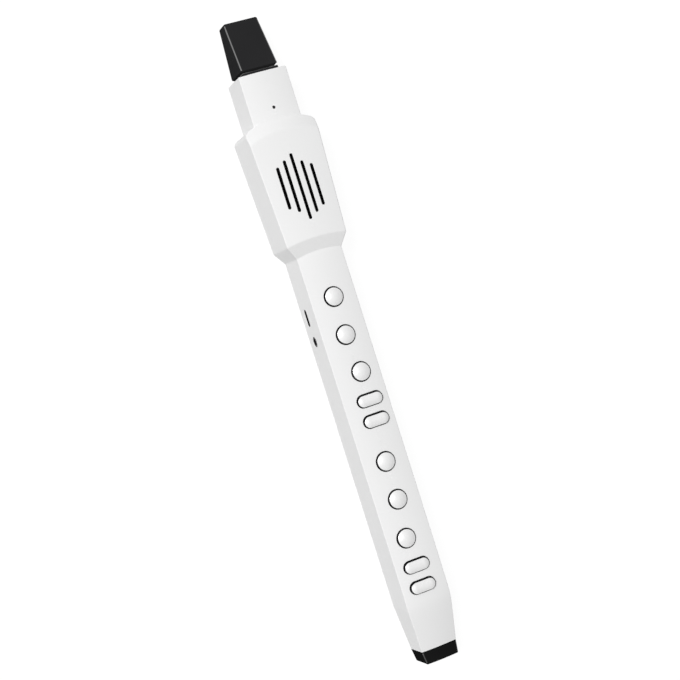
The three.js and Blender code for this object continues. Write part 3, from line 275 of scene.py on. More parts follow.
def tube_shape(x, y, z):
    """Bends a straight bar: it narrows below the taper's top, and its face is crowned."""
    down = (taper_top - y) / (taper_top - tail_end)
    half = tube_half + (tail_half - tube_half) * soft_max(0, down, side_softness)
    fall = soft_max(0, down, taper_softness)
    if z < middle_height:
        return x * (half + tail_draft * fall) / tube_half, y, z + (tail_back - tube_back) * fall
    x *= half / tube_half
    bulge = (crown + (tail_crown - crown) * fall) * (1 - (x / half) ** 2)
    return x, y, z + (tail_front - tube_front) * fall + bulge


def housing_half(y):
    return foot_half + (top_half - foot_half) * (y - bevel_end) / (housing_top - bevel_end)


def housing_shape(x, y, z, crowned=1):
    """Bends a straight bar: a ramp at its foot, sides that widen, and an arch with a bevel."""
    across = x / foot_half
    bulge = crown * (1 - across**2)
    up = (y - housing_foot) / (bevel_end - housing_foot)
    if z > middle_height:
        at_side = clamped((abs(x) - foot_half + shoulder + housing_rounds[1]) / shoulder)
        share = arch_rim_share + (1 - arch_rim_share) * at_side
        if crowned and housing_top - y < housing_rounds[1] + hair:
            z = housing_front - (housing_front - z) * share
            y = housing_top - (housing_top - y) * share
        ramp = (tube_front - housing_front) * (1 - up)
        arch = arch_edge - housing_front + arch_slope * (housing_top - y) - bulge * crowned
        z += bulge * crowned + soft_min(soft_min(0, ramp, crease), arch, crease)
    else:
        z += tube_back * soft_max(0, 1 - up, side_softness)
    lean = bevel_lean * bulge * clamped(1 - (up - lean_start) / lean_fade)
    radius = max(y - arch_centre, arch_least_radius)
    bow = radius - math.sqrt(radius**2 - (across * housing_half(y)) ** 2)
    y += lean - bow * clamped((y - arch_start) / arch_reach)
    half = soft_min(tube_half + (foot_half - tube_half) * up, housing_half(y), side_crease)
    return across * half, y, z


def head_shape(x, y, z):
    return x, y, z + (crown * (1 - (x / head_half) ** 2) if z > middle_height else 0)


def turned(profile, steps, at=(0, 0), stretch=(0, 0), bm=None):
    """Spins a profile of (radius, height) about an upright axis, and draws it out to a pill."""
    bm = bm or bmesh.new()
    before = set(bm.verts)
    line = [bm.verts.new((radius, 0, height)) for radius, height in profile]
    edges = [bm.edges.new(pair) for pair in zip(line, line[1:])]
    bmesh.ops.spin(bm, geom=line + edges, axis=(0, 0, 1), angle=2 * math.pi, steps=steps,
                   use_merge=True)
    fresh = [v for v in bm.verts if v not in before]
    bmesh.ops.rotate(bm, verts=fresh, matrix=Matrix.Rotation(math.pi / steps, 3, "Z"))
    for v in fresh:
        side_x = (v.co.x > hair) - (v.co.x < -hair)
        side_y = (v.co.y > hair) - (v.co.y < -hair)
        v.co.x += stretch[0] * side_x + at[0]
        v.co.y += stretch[1] * side_y + at[1]
    bmesh.ops.remove_doubles(bm, verts=fresh, dist=hair)
    bmesh.ops.recalc_face_normals(bm, faces=bm.faces)
    return bm


def arc(centre, radius, first, last, steps=4):
    turns = [math.radians(first + (last - first) * i / steps) for i in range(steps + 1)]
    return [(centre[0] + radius * math.cos(t), centre[1] + radius * math.sin(t)) for t in turns]


def stub(radius, low, high):
    """The start of a turned profile: out from the axis, and up the side."""
    return [(0, low), (radius, low), (radius, high)]


def rod(radius, low, high):
    return [*stub(radius, low, high), (0, high)]


def hole(radius, low, face, lip=0.00012):
    """The profile of a hole's cutter, flared so that the lip comes out soft."""
    flare, top = arc((radius + lip, face - lip), lip, 180, 90), face + 2 * overcut
    return [(0, low), (radius, low), *flare, (radius + lip, top), (0, top)]


def centre_of(node):
    low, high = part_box(node)
    return (low + high) / 2


def to_side(bm, side, place):
    """Turns upright work so that it faces out of the left (-1) or the right (1) wall."""
    for v in bm.verts:
        v.co = (side * (tube_half + v.co.z), place.y + v.co.y, place.z + v.co.x)
    bm.normal_update()
    bmesh.ops.recalc_face_normals(bm, faces=bm.faces)
    return bm


tube_rows = between(tail_end, tube_end, tube_steps[1]) + about(taper_top)
tube = block(tube_half, (tail_end, tube_end), (tube_back, tube_front), tube_rounds,
             columns=tube_steps[0], rows=tube_rows)
ramp_start = housing_foot - ramp_sink
housing_rows = (
    about(housing_foot) + about(bevel_end) + between(ramp_start, housing_top, wide_steps[1])
    + between(*rim_rows, rim_step) + between(rim_rows[1], housing_top, arch_step)
)
housing = block(foot_half, (ramp_start, housing_top), (0, housing_front), housing_rounds,
                shoulder, wide_steps[0], housing_rows)
head = block(head_half, (head_start, head_top), (tube_back, tube_front), tube_rounds)
rounded(head, rim_at(head, 1, head_top), head_edge, 3)
sliced(head, between(-head_half, head_half, wide_steps[0]),
       between(head_start, head_top - head_plain_end, wide_steps[1]))
case = part("case", bent(tube, tube_shape))
worked(case, "UNION", part("housing", bent(housing, housing_shape)),
       part("head", bent(head, head_shape)))

# The openings in the face: holes for round and long keys and for the pin, and the grille's slots.
# Each kind of round work is turned in so many steps.
round_keys = [f"{hand}_key_{i}" for hand in ("upper", "lower") for i in (1, 2, 3)]
pill_keys = [f"{hand}_pill_key_{i}" for hand in ("upper", "lower") for i in (1, 2)]
round_hole, pill_hole, pill_stretch = 0.0054, 0.00365, 0.00375
light_hole, light_lip = 0.00085, 0.0001
round_steps, pill_steps, side_steps, small_steps = 64, 48, 40, 24
slot_half_width, slot_pitch, grille_centre, slot_stagger = 0.000875, 0.00448, 0.08195, 0.0012
slot_lengths, slot_foot, slot_lip = [0.0222, 0.0274, 0.0350, 0.0274, 0.0222], 0.024, 0.00015
ceiling, face = tube_front - wall, tube_front + crown
holes = bmesh.new()
for name in round_keys:
    turned(hole(round_hole, ceiling - overcut, face), round_steps, centre_of(name)[:2], bm=holes)
for name in pill_keys:
    turned(hole(pill_hole, ceiling - overcut, face), pill_steps, centre_of(name)[:2],
           (pill_stretch, 0), holes)
turned(hole(light_hole, ceiling - overcut, face, light_lip), small_steps,
       centre_of("status_lens")[:2], bm=holes)
for v in holes.verts:
    v.co.z -= crown * (v.co.x / tube_half) ** 2


def in_slots(profile, low=0.0):
    """A turned piece for each slot of the grille. Above low, it follows the crowned face."""
    bm = bmesh.new()
    for step, length in enumerate(slot_lengths, -2):
        shift = ((step < 0) - (step > 0)) * slot_stagger
        turned(profile, small_steps, (step * slot_pitch, grille_centre + shift),
               (0, length / 2 - slot_half_width), bm)
    for v in bm.verts:
        if v.co.z > low:
            v.co.z -= crown * (v.co.x / housing_half(v.co.y)) ** 2
    return bm


slots = in_slots(hole(slot_half_width, slot_foot, housing_front + crown, slot_lip))

# The openings in the side walls are pills, or round where the stretch is nought.
left, right = -1, 1
usb_hole, jack_hole, side_hole, side_lip = 0.00185, 0.0029, 0.0021, 0.00008
usb_stretch, power_stretch, rocker_stretch = 0.00287, 0.0014, 0.0059
usb, jack = centre_of("usb_socket"), centre_of("audio_jack")
power, rocker = centre_of("power_button"), centre_of("volume_rocker")
side_openings = [
    (left, usb_hole, usb_stretch, usb), (left, jack_hole, 0, jack),
    (right, side_hole, power_stretch, power), (right, side_hole, rocker_stretch, rocker),
]
for i, (side, radius, stretch, place) in enumerate(side_openings):
    opening = turned(hole(radius, -wall - overcut, 0, side_lip), side_steps, stretch=(0, stretch))
    worked(case, "DIFFERENCE", part(f"opening_{i}", to_side(opening, side, place)))


def lengthwise(profile, start, height):
    """Spins a profile about an axis that runs towards the mouthpiece."""
    bm = turned(profile, side_steps)
    bmesh.ops.rotate(bm, verts=bm.verts, matrix=Matrix.Rotation(-math.pi / 2, 3, "X"))
    bmesh.ops.translate(bm, vec=(0, start, height), verts=bm.verts)
    return bm


def inner_housing(x, y, z):
    x, y, z = housing_shape(x, y, z, 0)
    return x * (1 - wall / foot_half), y, z


inside_half, head_inside_half = tube_half - wall, head_half - wall
cover_foot, head_inner_end = taper_top + wall, head_top - head_end_wall
tube_hollow_end, head_hollow_start, hollow_step = 0.075, 0.0755, 0.0002
inner_edge, inner_steps = 0.0004, (0.002, 0.003)
hollow_span = (housing_foot + wall, housing_top - wall)
housing_hollow = block(foot_half, hollow_span, (-overcut, housing_front - wall), (0, inner_edge),
                       shoulder, inner_steps[0], between(*hollow_span, inner_steps[1]))
tail_hollow = block(tail_half - wall, (tail_end - overcut, taper_top),
                    (tail_back + wall, tail_front - wall))
for v in tail_hollow.verts:
    if v.co.y > taper_top - hair:
        height = ceiling - hollow_step if v.co.z > middle_height else tube_back + wall
        v.co = (math.copysign(inside_half - hollow_step, v.co.x), cover_foot + overcut, height)
tube_hollow = block(inside_half, (cover_foot - cover_gap, tube_hollow_end), (-overcut, ceiling))
head_hollow = block(head_inside_half, (head_hollow_start, head_inner_end), (-overcut, ceiling))
worked(case, "DIFFERENCE", part("tube_hollow", tube_hollow), part("head_hollow", head_hollow),
       part("housing_hollow", bent(housing_hollow, inner_housing)),
       part("tail_hollow", tail_hollow), part("holes", holes), part("slots", slots))

# Ledges on the inner walls carry the circuit boards, and bored lugs take the screws.
breath_height, spigot_hole, spigot_cut = 0.0141, 0.0045, 0.0034
ledge_size, ledge_gap, jack_clearance = 0.0012, 0.0002, 0.0003
lug_reach, lug_low, lug_top, lug_bore, lug_bore_end = 0.0027, 0.0043, 0.0095, 0.00115, 0.0077
screws = [f"cover_screw_{i}" for i in range(1, 11)]
ledges, lugs, bores = bmesh.new(), bmesh.new(), bmesh.new()
for node, half in (("key_board", inside_half), ("main_board", inside_half),
                   ("head_board", head_inside_half)):
    low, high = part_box(node)
    for side in (left, right):
        by_jack = (node, side) == ("key_board", left)
        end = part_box("audio_jack")[0].y - jack_clearance if by_jack else high.y
        ends = sorted((side * (half - ledge_size), side * (half + wall / 2)))
        top = low.z - ledge_gap
        slab((ends[0], low.y, top - ledge_size), (ends[1], end, top), ledges)
for name in screws:
    place = centre_of(name)
    side = math.copysign(1, place.x)
    ends = sorted((place.x - side * lug_reach, place.x + side * (lug_reach + wall / 2)))
    slab((ends[0], place.y - lug_reach, lug_low), (ends[1], place.y + lug_reach, lug_top), lugs)
    turned(rod(lug_bore, lug_low - overcut, lug_bore_end), small_steps, place[:2], bm=bores)
worked(case, "UNION", part("ledges", ledges))
worked(case, "UNION", part("lugs", lugs))
spigot_cutter = lengthwise(rod(spigot_hole, -spigot_cut, overcut), head_top, breath_height)
worked(case, "DIFFERENCE", part("bores", bores), part("spigot_hole", spigot_cutter))
fitted(case, "instrument", "body_shell", satin_white)

# Rear cover
# A second white moulding that closes the back. It lies flush in the case with a fine seam round it,
# has openings for the three rear keys, a recess for the thumb pad, and wells for ten screws.
cover_half = inside_half - cover_gap
cover_thickness, pan_thickness, cover_edge, bend_reach = 0.002, 0.003, 0.0003, 0.0006
strip_end, head_strip_start = 0.0800, 0.0805
thumb_key_hole, octave_hole, octave_stretch = 0.0056, 0.0035, 0.0037
screw_radius, screw_sink, screw_gap = 0.0019, 0.0003, 0.00025
screw_well, well_lip, well_reach = 0.0017, 0.0001, 0.006


def inner_back(x, y, z):
    x, y, z = housing_shape(x, y, z, 0)
    return x * (1 - (wall + cover_gap) / foot_half), y, z


pan_span = (hollow_span[0] + cover_gap, hollow_span[1] - cover_gap)
pan = block(foot_half, pan_span, (0, pan_thickness), (cover_edge, 0), shoulder, inner_steps[0],
            about(bevel_end, bend_reach) + between(*pan_span, inner_steps[1]))
cover_depth = (tube_back, tube_back + cover_thickness)
strip = block(cover_half, (cover_foot, strip_end), cover_depth, (cover_edge, 0))
head_strip = block(head_inside_half - cover_gap, (head_strip_start, head_inner_end - cover_gap),
                   cover_depth, (cover_edge, 0))
cover = part("cover", bent(pan, inner_back))
worked(cover, "UNION", part("strip", strip), part("head_strip", head_strip))


def from_behind(bm):
    """Turns work that was made to face up so that it faces down."""
    for v in bm.verts:
        v.co.z = -v.co.z
    bm.normal_update()
    bmesh.ops.recalc_face_normals(bm, faces=bm.faces)
    return bm


wells = bmesh.new()
turned(hole(thumb_key_hole, -well_reach, -tube_back), round_steps, centre_of("thumb_key")[:2],
       bm=wells)
for name in ("octave_up_key", "octave_down_key"):
    turned(hole(octave_hole, -well_reach, -tube_back), pill_steps, centre_of(name)[:2],
           (octave_stretch, 0), wells)
for name in screws:
    place, outer = centre_of(name), -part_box(name)[0].z + screw_sink
    profile = [*stub(lug_bore, outer - well_reach, outer - screw_well),
               *hole(screw_radius + screw_gap, outer - screw_well, outer, well_lip)[1:]]
    turned(profile, side_steps, place[:2], bm=wells)
rest_low, rest_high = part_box("thumb_rest")
rest_half = (rest_high.x - rest_low.x) / 2
rest_corner, rest_gap, recess_play = 0.0035, 0.0002, 0.0004
recess_half = rest_half + rest_gap
recess = slab((-recess_half, rest_low.y - rest_gap, 0),
              (recess_half, rest_high.y + rest_gap, rest_high.z + recess_play))


def upright(bm):
    return [e for e in bm.edges if abs(e.verts[0].co.z - e.verts[1].co.z) > hair]


rounded(recess, upright(recess), rest_corner, 8)
worked(cover, "DIFFERENCE", part("wells", from_behind(wells)), part("recess", recess))
fitted(cover, "instrument", "rear_cover", satin_white)

# Cover screws
# Ten small steel screws with low domed heads and a cross recess, sunk just below the back.
cross_width, cross_length, cross_depth = 0.00045, 0.0022, 0.0006
shank, head_height, head_round, head_crown, head_steps = 0.0009, 0.0012, 0.0004, 0.00002, 32
brush_marks, marks_in, marks_out = node_group(
    "brush_marks", [("Place", "Vector"), ("Stretch", "Vector")], [("Height", "Float")])
drawn = wired(brush_marks, "ShaderNodeMapping", {
    "Vector": marks_in.outputs["Place"], "Scale": marks_in.outputs["Stretch"]})
marks = wired(brush_marks, "ShaderNodeTexNoise", {
    "Vector": drawn.outputs["Vector"], "Scale": 1.0, "Detail": 3.0})
filled(brush_marks, marks_out, Height=marks.outputs["Fac"])


def plated(name, first, second, rough, stretch, depth=2e-6, metal=1.0):
    """Plated or brushed metal: two close colours in drawn marks, which also roughen it."""
    made, tree, shader, place = new_finish(name, {"Metallic": metal})
    group = wired(tree, "ShaderNodeGroup", node_tree=brush_marks)
    tree.links.new(place, group.inputs["Place"])
    group.inputs["Stretch"].default_value = stretch
    height = group.outputs["Height"]
    colour = blended(tree, height, first, second)
    surfaced(tree, shader, colour, height, depth, rough, swing=0.08)
    return made


blackened_steel = plated("blackened_steel", (0.10, 0.10, 0.105), (0.16, 0.16, 0.165), rough=0.38,
                         stretch=(900, 900, 4000))


def soft_rim(radius, top, softness):
    """The rounded rim of a turned head, up from its side."""
    middle = (radius - softness, top - softness)
    return [(radius, top - softness), *arc(middle, softness, 20, 70, 2)]


for name in screws:
    low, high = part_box(name)
    place, outer = (low + high) / 2, -low.z
    profile = [*stub(shank, -high.z, outer - head_height), (screw_radius, outer - head_height),
               *soft_rim(screw_radius, outer, head_round), (screw_radius / 2, outer - head_crown),
               (0, outer)]
    screw = part(name + "_head", from_behind(turned(profile, head_steps, place[:2])))
    for reach in ((cross_length, cross_width), (cross_width, cross_length)):
        corner = Vector((*reach, 2 * cross_depth)) / 2
        middle = Vector((place.x, place.y, low.z))
        worked(screw, "DIFFERENCE", part("bar", slab(middle - corner, middle + corner)))
    fitted(screw, "instrument", name, blackened_steel)

# Thumb rest
# A grey silicone pad set into the cover, with shallow ribs for the right thumb.
rib_pitch, rib_depth, rib_margin, rib_fade = 0.0024, 0.0004, 0.0012, 0.0006
pad_edge, pad_skin, pad_steps = 0.0005, 0.0001, (0.0012, 0.0003)
pad = slab(rest_low, rest_high)
rounded(pad, upright(pad), rest_corner, 8)
rounded(pad, rim_at(pad, 2, rest_low.z), pad_edge, 4)
sliced(pad, between(-rest_half, rest_half, pad_steps[0]),
       between(rest_low.y, rest_high.y, pad_steps[1]))
for v in pad.verts:
    inside = min(rest_half - abs(v.co.x), v.co.y - rest_low.y, rest_high.y - v.co.y)
    if v.co.z < rest_low.z + pad_skin:
        wave = 0.5 - 0.5 * math.cos(2 * math.pi * (v.co.y - rest_low.y) / rib_pitch)
        v.co.z += rib_depth * wave * clamped((inside - rib_margin) / rib_fade)
thumb_pad = part("thumb_pad", pad)
silicone = moulded("silicone", (0.25, 0.26, 0.275), (0.30, 0.31, 0.325), rough=0.62, grains=3200.0,
                   depth=8e-6, patches=90.0, fixed={"Specular IOR Level": 0.35})
fitted(thumb_pad, "instrument", "thumb_rest", silicone)

# End cap
# A black satin moulding with polished edges, which closes the tail. It tapers to a small end face,
# and a plug that reaches into the tail holds it.
cap_top, cap_end, cap_rounds, cap_step = -0.16715, -0.17395, (0.0010, 0.0005), 0.0012
cap_end_half, cap_end_back, cap_edge, polish_reach = 0.0091, 0.0028, 0.0008, 0.0003
plug_gap, plug_root, plug_reach, plug_edge = 0.0004, 0.001, 0.005, 0.0005
broad_area, least_bend, full_bend, line_reach = 2e-5, 0.51, 0.525, 0.0002
cap = block(tail_half, (cap_end, cap_top), (tail_back, tail_front), cap_rounds)
rounded(cap, rim_at(cap, 1, cap_end), cap_edge, 4)


def with_margins(bm):
    """Insets the broad faces, so that the polish of an edge ends close beside it."""
    broad = [f for f in bm.faces if f.calc_area() > broad_area]
    bmesh.ops.inset_individual(bm, faces=broad, thickness=polish_reach / 2)
    return bm


polish_span = (cap_end + cap_edge + polish_reach, cap_top - polish_reach)
sliced(with_margins(cap), between(-tail_half, tail_half, cap_step),
       [polish_span[0], *between(*polish_span, cap_step), polish_span[1]])


def cap_shape(x, y, z):
    share = (cap_top - y) / (cap_top - cap_end)
    half = tail_half + (cap_end_half - tail_half) * share
    if z < (tail_back + tail_front) / 2:
        return x * (half + tail_draft) / tail_half, y, z + (cap_end_back - tail_back) * share
    x *= half / tail_half
    return x, y, z + tail_crown * (1 - (x / half) ** 2)


tail_cap = part("tail_cap", bent(cap, cap_shape))
plug = block(tail_half - wall - plug_gap, (cap_top - plug_root, tail_end + plug_reach),
             (tail_back + wall + plug_gap, tail_front - wall - plug_gap), (plug_edge, plug_edge))
worked(tail_cap, "UNION", part("plug", plug))


def maths(tree, operation, *values):
    return wired(tree, "ShaderNodeMath", dict(enumerate(values)), operation=operation).outputs[0]


edge_polish, polish_in, polish_out = node_group(
    "edge_polish",
    [("Place", "Vector"), ("Least Y", "Float"), ("Most Y", "Float"), ("Line Y", "Float")],
    [("Polish", "Float")])
curve = wired(edge_polish, "ShaderNodeNewGeometry").outputs["Pointiness"]
edge_share = wired(edge_polish, "ShaderNodeMapRange", {
    "Value": curve, "From Min": least_bend, "From Max": full_bend}).outputs["Result"]
place_y = wired(edge_polish, "ShaderNodeSeparateXYZ", {
    "Vector": polish_in.outputs["Place"]}).outputs["Y"]
beyond = maths(edge_polish, "GREATER_THAN", place_y, polish_in.outputs["Least Y"])
before = maths(edge_polish, "LESS_THAN", place_y, polish_in.outputs["Most Y"])
within = maths(edge_polish, "MULTIPLY", beyond, before)
line = maths(edge_polish, "COMPARE", place_y, polish_in.outputs["Line Y"], line_reach)
either = maths(edge_polish, "MAXIMUM", within, line)
filled(edge_polish, polish_out, Polish=maths(edge_polish, "MULTIPLY", edge_share, either))


def polished_edges(finish, least_y, most_y, line_y=0.0):
    """Makes the finish glossy along the edges between two places on Y, and at one more place."""
    tree = finish.node_tree
    place = tree.nodes["Texture Coordinate"].outputs["Object"]
    gloss = wired(tree, "ShaderNodeGroup", {"Place": place}, node_tree=edge_polish)
    for name, value in (("Least Y", least_y), ("Most Y", most_y), ("Line Y", line_y)):
        gloss.inputs[name].default_value = value
    tree.links.new(gloss.outputs["Polish"], tree.nodes["Principled BSDF"].inputs["Coat Weight"])


edge_coat = {"Specular IOR Level": 0.0, "Coat Roughness": 0.05}
cap_black = moulded("cap_black", (0.007, 0.007, 0.007), (0.011, 0.011, 0.011), rough=0.5,
                    depth=3e-6, patches=60.0, fixed={**edge_coat, "Coat IOR": 1.9})
polished_edges(cap_black, *polish_span)
fitted(tail_cap, "instrument", "end_cap", cap_black)

# Mouthpiece
# A black satin moulding with polished edges, which the player blows into: a flat front, a thin tip
# with the air slot, and a chamfered base. It pushes over the spigot in the head, and pulls off.
mouth_foot, mouth_tip = 0.14425, 0.17388
mouth_half, mouth_tip_half = 0.01005, 0.0093
mouth_front, mouth_tip_front = 0.0250, 0.0163
mouth_back, mouth_tip_back = 0.0022, 0.0059
mouth_edge, tip_corner, base_edge = 0.0005, 0.0010, 0.00012
flat_angle, ridge_angle, slice_reach, edges_start = 0.05, 0.3, 0.0001, 0.0012
mouth_steps, first_slice, last_slice = (0.003, 0.0025), 0.0004, 0.0014
polish_start, polish_end = 0.0002, 0.0012
air_slot_half, air_slot_height, air_slot_middle, air_slot_start = 0.0050, 0.0012, 0.0111, 0.015
bore, bore_length = 0.0050, 0.0160

# How far the base is drawn in at each height above its foot, for its band and its groove.
band_height = 0.0014
base_inset = {0: 0.0004, band_height: 0.0004, 0.0016: 0.0018, 0.0028: 0}
base_line = mouth_foot + max(base_inset)
satin_black = moulded("satin_black", (0.021, 0.021, 0.022), (0.025, 0.025, 0.026), rough=0.5,
                      depth=3e-6, patches=60.0, fixed={**edge_coat, "Coat IOR": 2.6})
polished_edges(satin_black, base_line + polish_start, mouth_tip - polish_end,
               mouth_foot + band_height)


def mouth_shape(x, y, z):
    share = (y - mouth_foot) / (mouth_tip - mouth_foot)
    draw = base_inset.get(round(y - mouth_foot, 5), 0)
    half = mouth_half + (mouth_tip_half - mouth_half) * share - draw
    if z > middle_height:
        z += (mouth_tip_front - mouth_front) * share - draw
    else:
        z += (mouth_tip_back - mouth_back) * share + draw
    return math.copysign(half, x), y, z


mouth = bent(block(mouth_half, (mouth_foot, mouth_tip), (mouth_back, mouth_front),
                   rows=[mouth_foot + height for height in base_inset if height]), mouth_shape)


def edges_between(bm, first, last):
    """The edges that lie in a slice across the piece, without those that cross a flat face."""
    return [e for e in bm.edges if all(first < v.co.y < last for v in e.verts)
            and e.calc_face_angle(0) > flat_angle]


tip_edges = edges_between(mouth, mouth_tip - slice_reach, mouth_tip + slice_reach)
rounded(mouth, at_one_x(tip_edges), tip_corner)
rounded(mouth, [e for e in mouth.edges if e.calc_face_angle(0) > ridge_angle
                and max(v.co.y for v in e.verts) > base_line + slice_reach], mouth_edge, 3)
base_edges = edges_between(mouth, mouth_foot + edges_start, base_line + slice_reach)
rounded(mouth, base_edges, base_edge, 2)
with_margins(mouth)
slices = [base_line + first_slice, *between(base_line, mouth_tip - tip_corner, mouth_steps[1]),
          mouth_tip - last_slice]
sliced(mouth, between(-mouth_half, mouth_half, mouth_steps[0]), slices)
mouthpiece = part("mouthpiece_body", mouth)
socket = lengthwise(rod(bore, -overcut, bore_length), mouth_foot, breath_height)
air_slot = block(air_slot_half, (mouth_foot + air_slot_start, mouth_tip + overcut),
                 (air_slot_middle - air_slot_height, air_slot_middle + air_slot_height))
worked(mouthpiece, "DIFFERENCE", part("socket", socket), part("air_slot", air_slot))
fitted(mouthpiece, "mouthpiece", "mouthpiece", satin_black)

# Finger keys
# Ten keys, six round and four long: black bodies with domed pearl inlays glued into their tops.
# A flange under the face keeps each key in, and a silicone keypad lifts it.
flange_low, flange_top, key_top, key_dome = 0.0233, 0.0241, 0.0290, 0.0012
flange_lap, key_gap, key_edge, inlay_depth = 0.0012, 0.0005, 0.0002, 0.0006
# Painted shade, in part: the black rim round each inlay is the body's own black, set wide so that
# it darkens the ring where the gap round the key lies in shade.
rim_width, rim_bow, bow_steps = 0.00027, 0.3, 12
pill_top, pill_dome, pill_drop = 0.0287, 0.0008, 0.0002
pearl = moulded("pearl", (0.80, 0.80, 0.80), (0.86, 0.86, 0.86), rough=0.34, grains=5200.0,
                depth=1.5e-6, patches=700.0,
                fixed={"Metallic": 0.08, "Coat Weight": 0.3, "Coat Roughness": 0.06})
glossy_black = moulded("glossy_black", (0.008, 0.008, 0.009), (0.012, 0.012, 0.013), rough=0.3,
                       depth=2e-6, patches=60.0, fixed={"Specular IOR Level": 0.2})


def key_body(hole_radius, low, high, top, dome):
    """From the middle of the flange's underside, round the cap to the pocket for the inlay."""
    cap, flange, rim = hole_radius - key_gap, hole_radius + flange_lap, top - dome
    inlay = cap - rim_width
    return [(0, low), (flange, low), (flange, high), (cap, high), (cap, rim - key_edge),
            (cap - rim_bow * rim_width, rim - rim_bow * key_edge), (inlay, rim),
            (inlay, rim - inlay_depth), (0, rim - inlay_depth)]


def key_inlay(hole_radius, top, dome):
    """The domed inlay, which rises from the rim in a shallow bow."""
    radius, rim = hole_radius - key_gap - rim_width, top - dome
    shares = [1 - i / bow_steps for i in range(bow_steps + 1)]
    bow = [(radius * share, rim + dome * (1 - share**2)) for share in shares]
    return [(0, rim - inlay_depth), (radius, rim - inlay_depth), *bow]


def add_key(name, radius, place, stretch, depths, dome, steps=round_steps, facing=lambda bm: bm):
    """Depths are the flange's underside and top, and the top of the key's dome."""
    for ending, profile, finish in (("_cap", key_body(radius, *depths, dome), glossy_black),
                                    ("_inlay", key_inlay(radius, depths[2], dome), pearl)):
        piece = part(name + ending, facing(turned(profile, steps, place, (stretch, 0))))
        fitted(piece, name, name, finish)


for name in round_keys:
    add_key(name, round_hole, centre_of(name)[:2], 0, (flange_low, flange_top, key_top), key_dome)
for name in pill_keys:
    x, y = centre_of(name)[:2]
    add_key(name, pill_hole, (x, y - pill_drop), pill_stretch, (flange_low, flange_top, pill_top),
            pill_dome, pill_steps)

# Rear keys
# A round thumb key between two octave keys, made as the finger keys are, and flatter.
rear_dome, rear_flange = 0.00035, 0.0008
for name, radius, stretch in (("thumb_key", thumb_key_hole, 0),
                              ("octave_up_key", octave_hole, octave_stretch),
                              ("octave_down_key", octave_hole, octave_stretch)):
    low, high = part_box(name)
    add_key(name, radius, centre_of(name)[:2], stretch, (-high.z, -high.z + rear_flange, -low.z),
            rear_dome, facing=from_behind)

# Side controls
# Soft black push buttons in the right wall: a power button, and a rocker that waists in its middle
# for volume up and down. Flanges inside the wall keep them in.
side_gap, side_lap, side_proud, side_flange = 0.00025, 0.00035, 0.0007, 0.0008
power_flange, rocker_flange = 0.0021, 0.00235
side_edge, dome_share, dome_drop = 0.0003, 0.6, 0.00006
waist_depth, waist_reach, waist_step = 0.0003, 0.0022, 0.0004
rubber = moulded("rubber", (0.012, 0.012, 0.013), (0.020, 0.020, 0.021), rough=0.7, grains=3600.0,
                 depth=9e-6, patches=80.0, fixed={"Specular IOR Level": 0.3})
for name, stretch, place, flange in (("power_button", power_stretch, power, power_flange),
                                     ("volume_rocker", rocker_stretch, rocker, rocker_flange)):
    cap, foot = side_hole - side_gap, -flange - side_flange
    profile = [*stub(side_hole + side_lap, foot, -flange), (cap, -flange),
               *soft_rim(cap, side_proud, side_edge), (cap * dome_share, side_proud - dome_drop),
               (0, side_proud)]
    button = turned(profile, side_steps, stretch=(0, stretch))
    if name == "volume_rocker":
        sliced(button, (), between(-stretch - cap, stretch + cap, waist_step))
        for v in button.verts:
            if v.co.z > 0:
                v.co.z -= waist_depth * math.exp(-((v.co.y / waist_reach) ** 2))
    fitted(part(name + "_cap", to_side(button, right, place)), name, name, rubber)

# Charging socket
# A shell of dark drawn steel in the left wall, with a flat tongue that carries the contacts.
usb_radius, usb_inner, usb_edge = 0.00175, 0.00145, 0.0001
usb_face, usb_depth, usb_floor = -0.00006, 0.0075, 0.0072
tongue_size, tongue_sink, tongue_edge = (0.0048, 0.0067, 0.0007), 0.0022, 0.0002
shell_back, shell_floor = usb_face - usb_depth, usb_face - usb_floor
shell_profile = [*stub(usb_radius, shell_back, usb_face - usb_edge),
                 (usb_radius - usb_edge, usb_face), (usb_inner + usb_edge, usb_face),
                 (usb_inner, usb_face - usb_edge), (usb_inner, shell_floor), (0, shell_floor)]
shell = part("usb_shell", to_side(turned(shell_profile, side_steps, stretch=(0, usb_stretch)),
                                  left, usb))
tongue_place = Vector((usb_floor - tube_half - usb_face - tongue_sink, usb.y, usb.z))
tongue_corner = Vector(tongue_size) / 2
tongue = slab(tongue_place - tongue_corner, tongue_place + tongue_corner)
rounded(tongue, rim_at(tongue, 0, tongue_place.x - tongue_corner.x), tongue_edge, 2)
worked(shell, "UNION", part("tongue", tongue))
dark_shell = plated("dark_shell", (0.020, 0.020, 0.021), (0.035, 0.035, 0.036), rough=0.45,
                    stretch=(4000, 900, 900))
fitted(shell, "instrument", "usb_socket", dark_shell)

# Audio socket
# A black moulded barrel in a block on the main board, with a soft rim round its bore.
jack_low, jack_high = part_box("audio_jack")
barrel, barrel_depth, jack_face, jack_edge = 0.00275, 0.0035, -0.00006, 0.0002
jack_bore, bore_depth, bore_lip, jack_gap = 0.00175, 0.011, 0.0003, 0.0002
jack_block = slab((-inside_half + jack_gap, jack_low.y, jack_low.z), jack_high)
rounded(jack_block, jack_block.edges[:], jack_edge, 2)
barrel_profile = [*stub(barrel, -barrel_depth, jack_face - jack_edge),
                  (barrel - jack_edge, jack_face), (0, jack_face)]
bore_profile = [(0, jack_face - bore_depth), (jack_bore, jack_face - bore_depth),
                *arc((jack_bore + bore_lip, jack_face - bore_lip), bore_lip, 180, 90, 3),
                (jack_bore + bore_lip, overcut), (0, overcut)]
socket_body = part("jack_body", jack_block)
for name, profile, operation in (("barrel", barrel_profile, "UNION"),
                                 ("bore", bore_profile, "DIFFERENCE")):
    worked(socket_body, operation, part(name, to_side(turned(profile, side_steps), left, jack)))
fitted(socket_body, "instrument", "audio_jack", glossy_black)

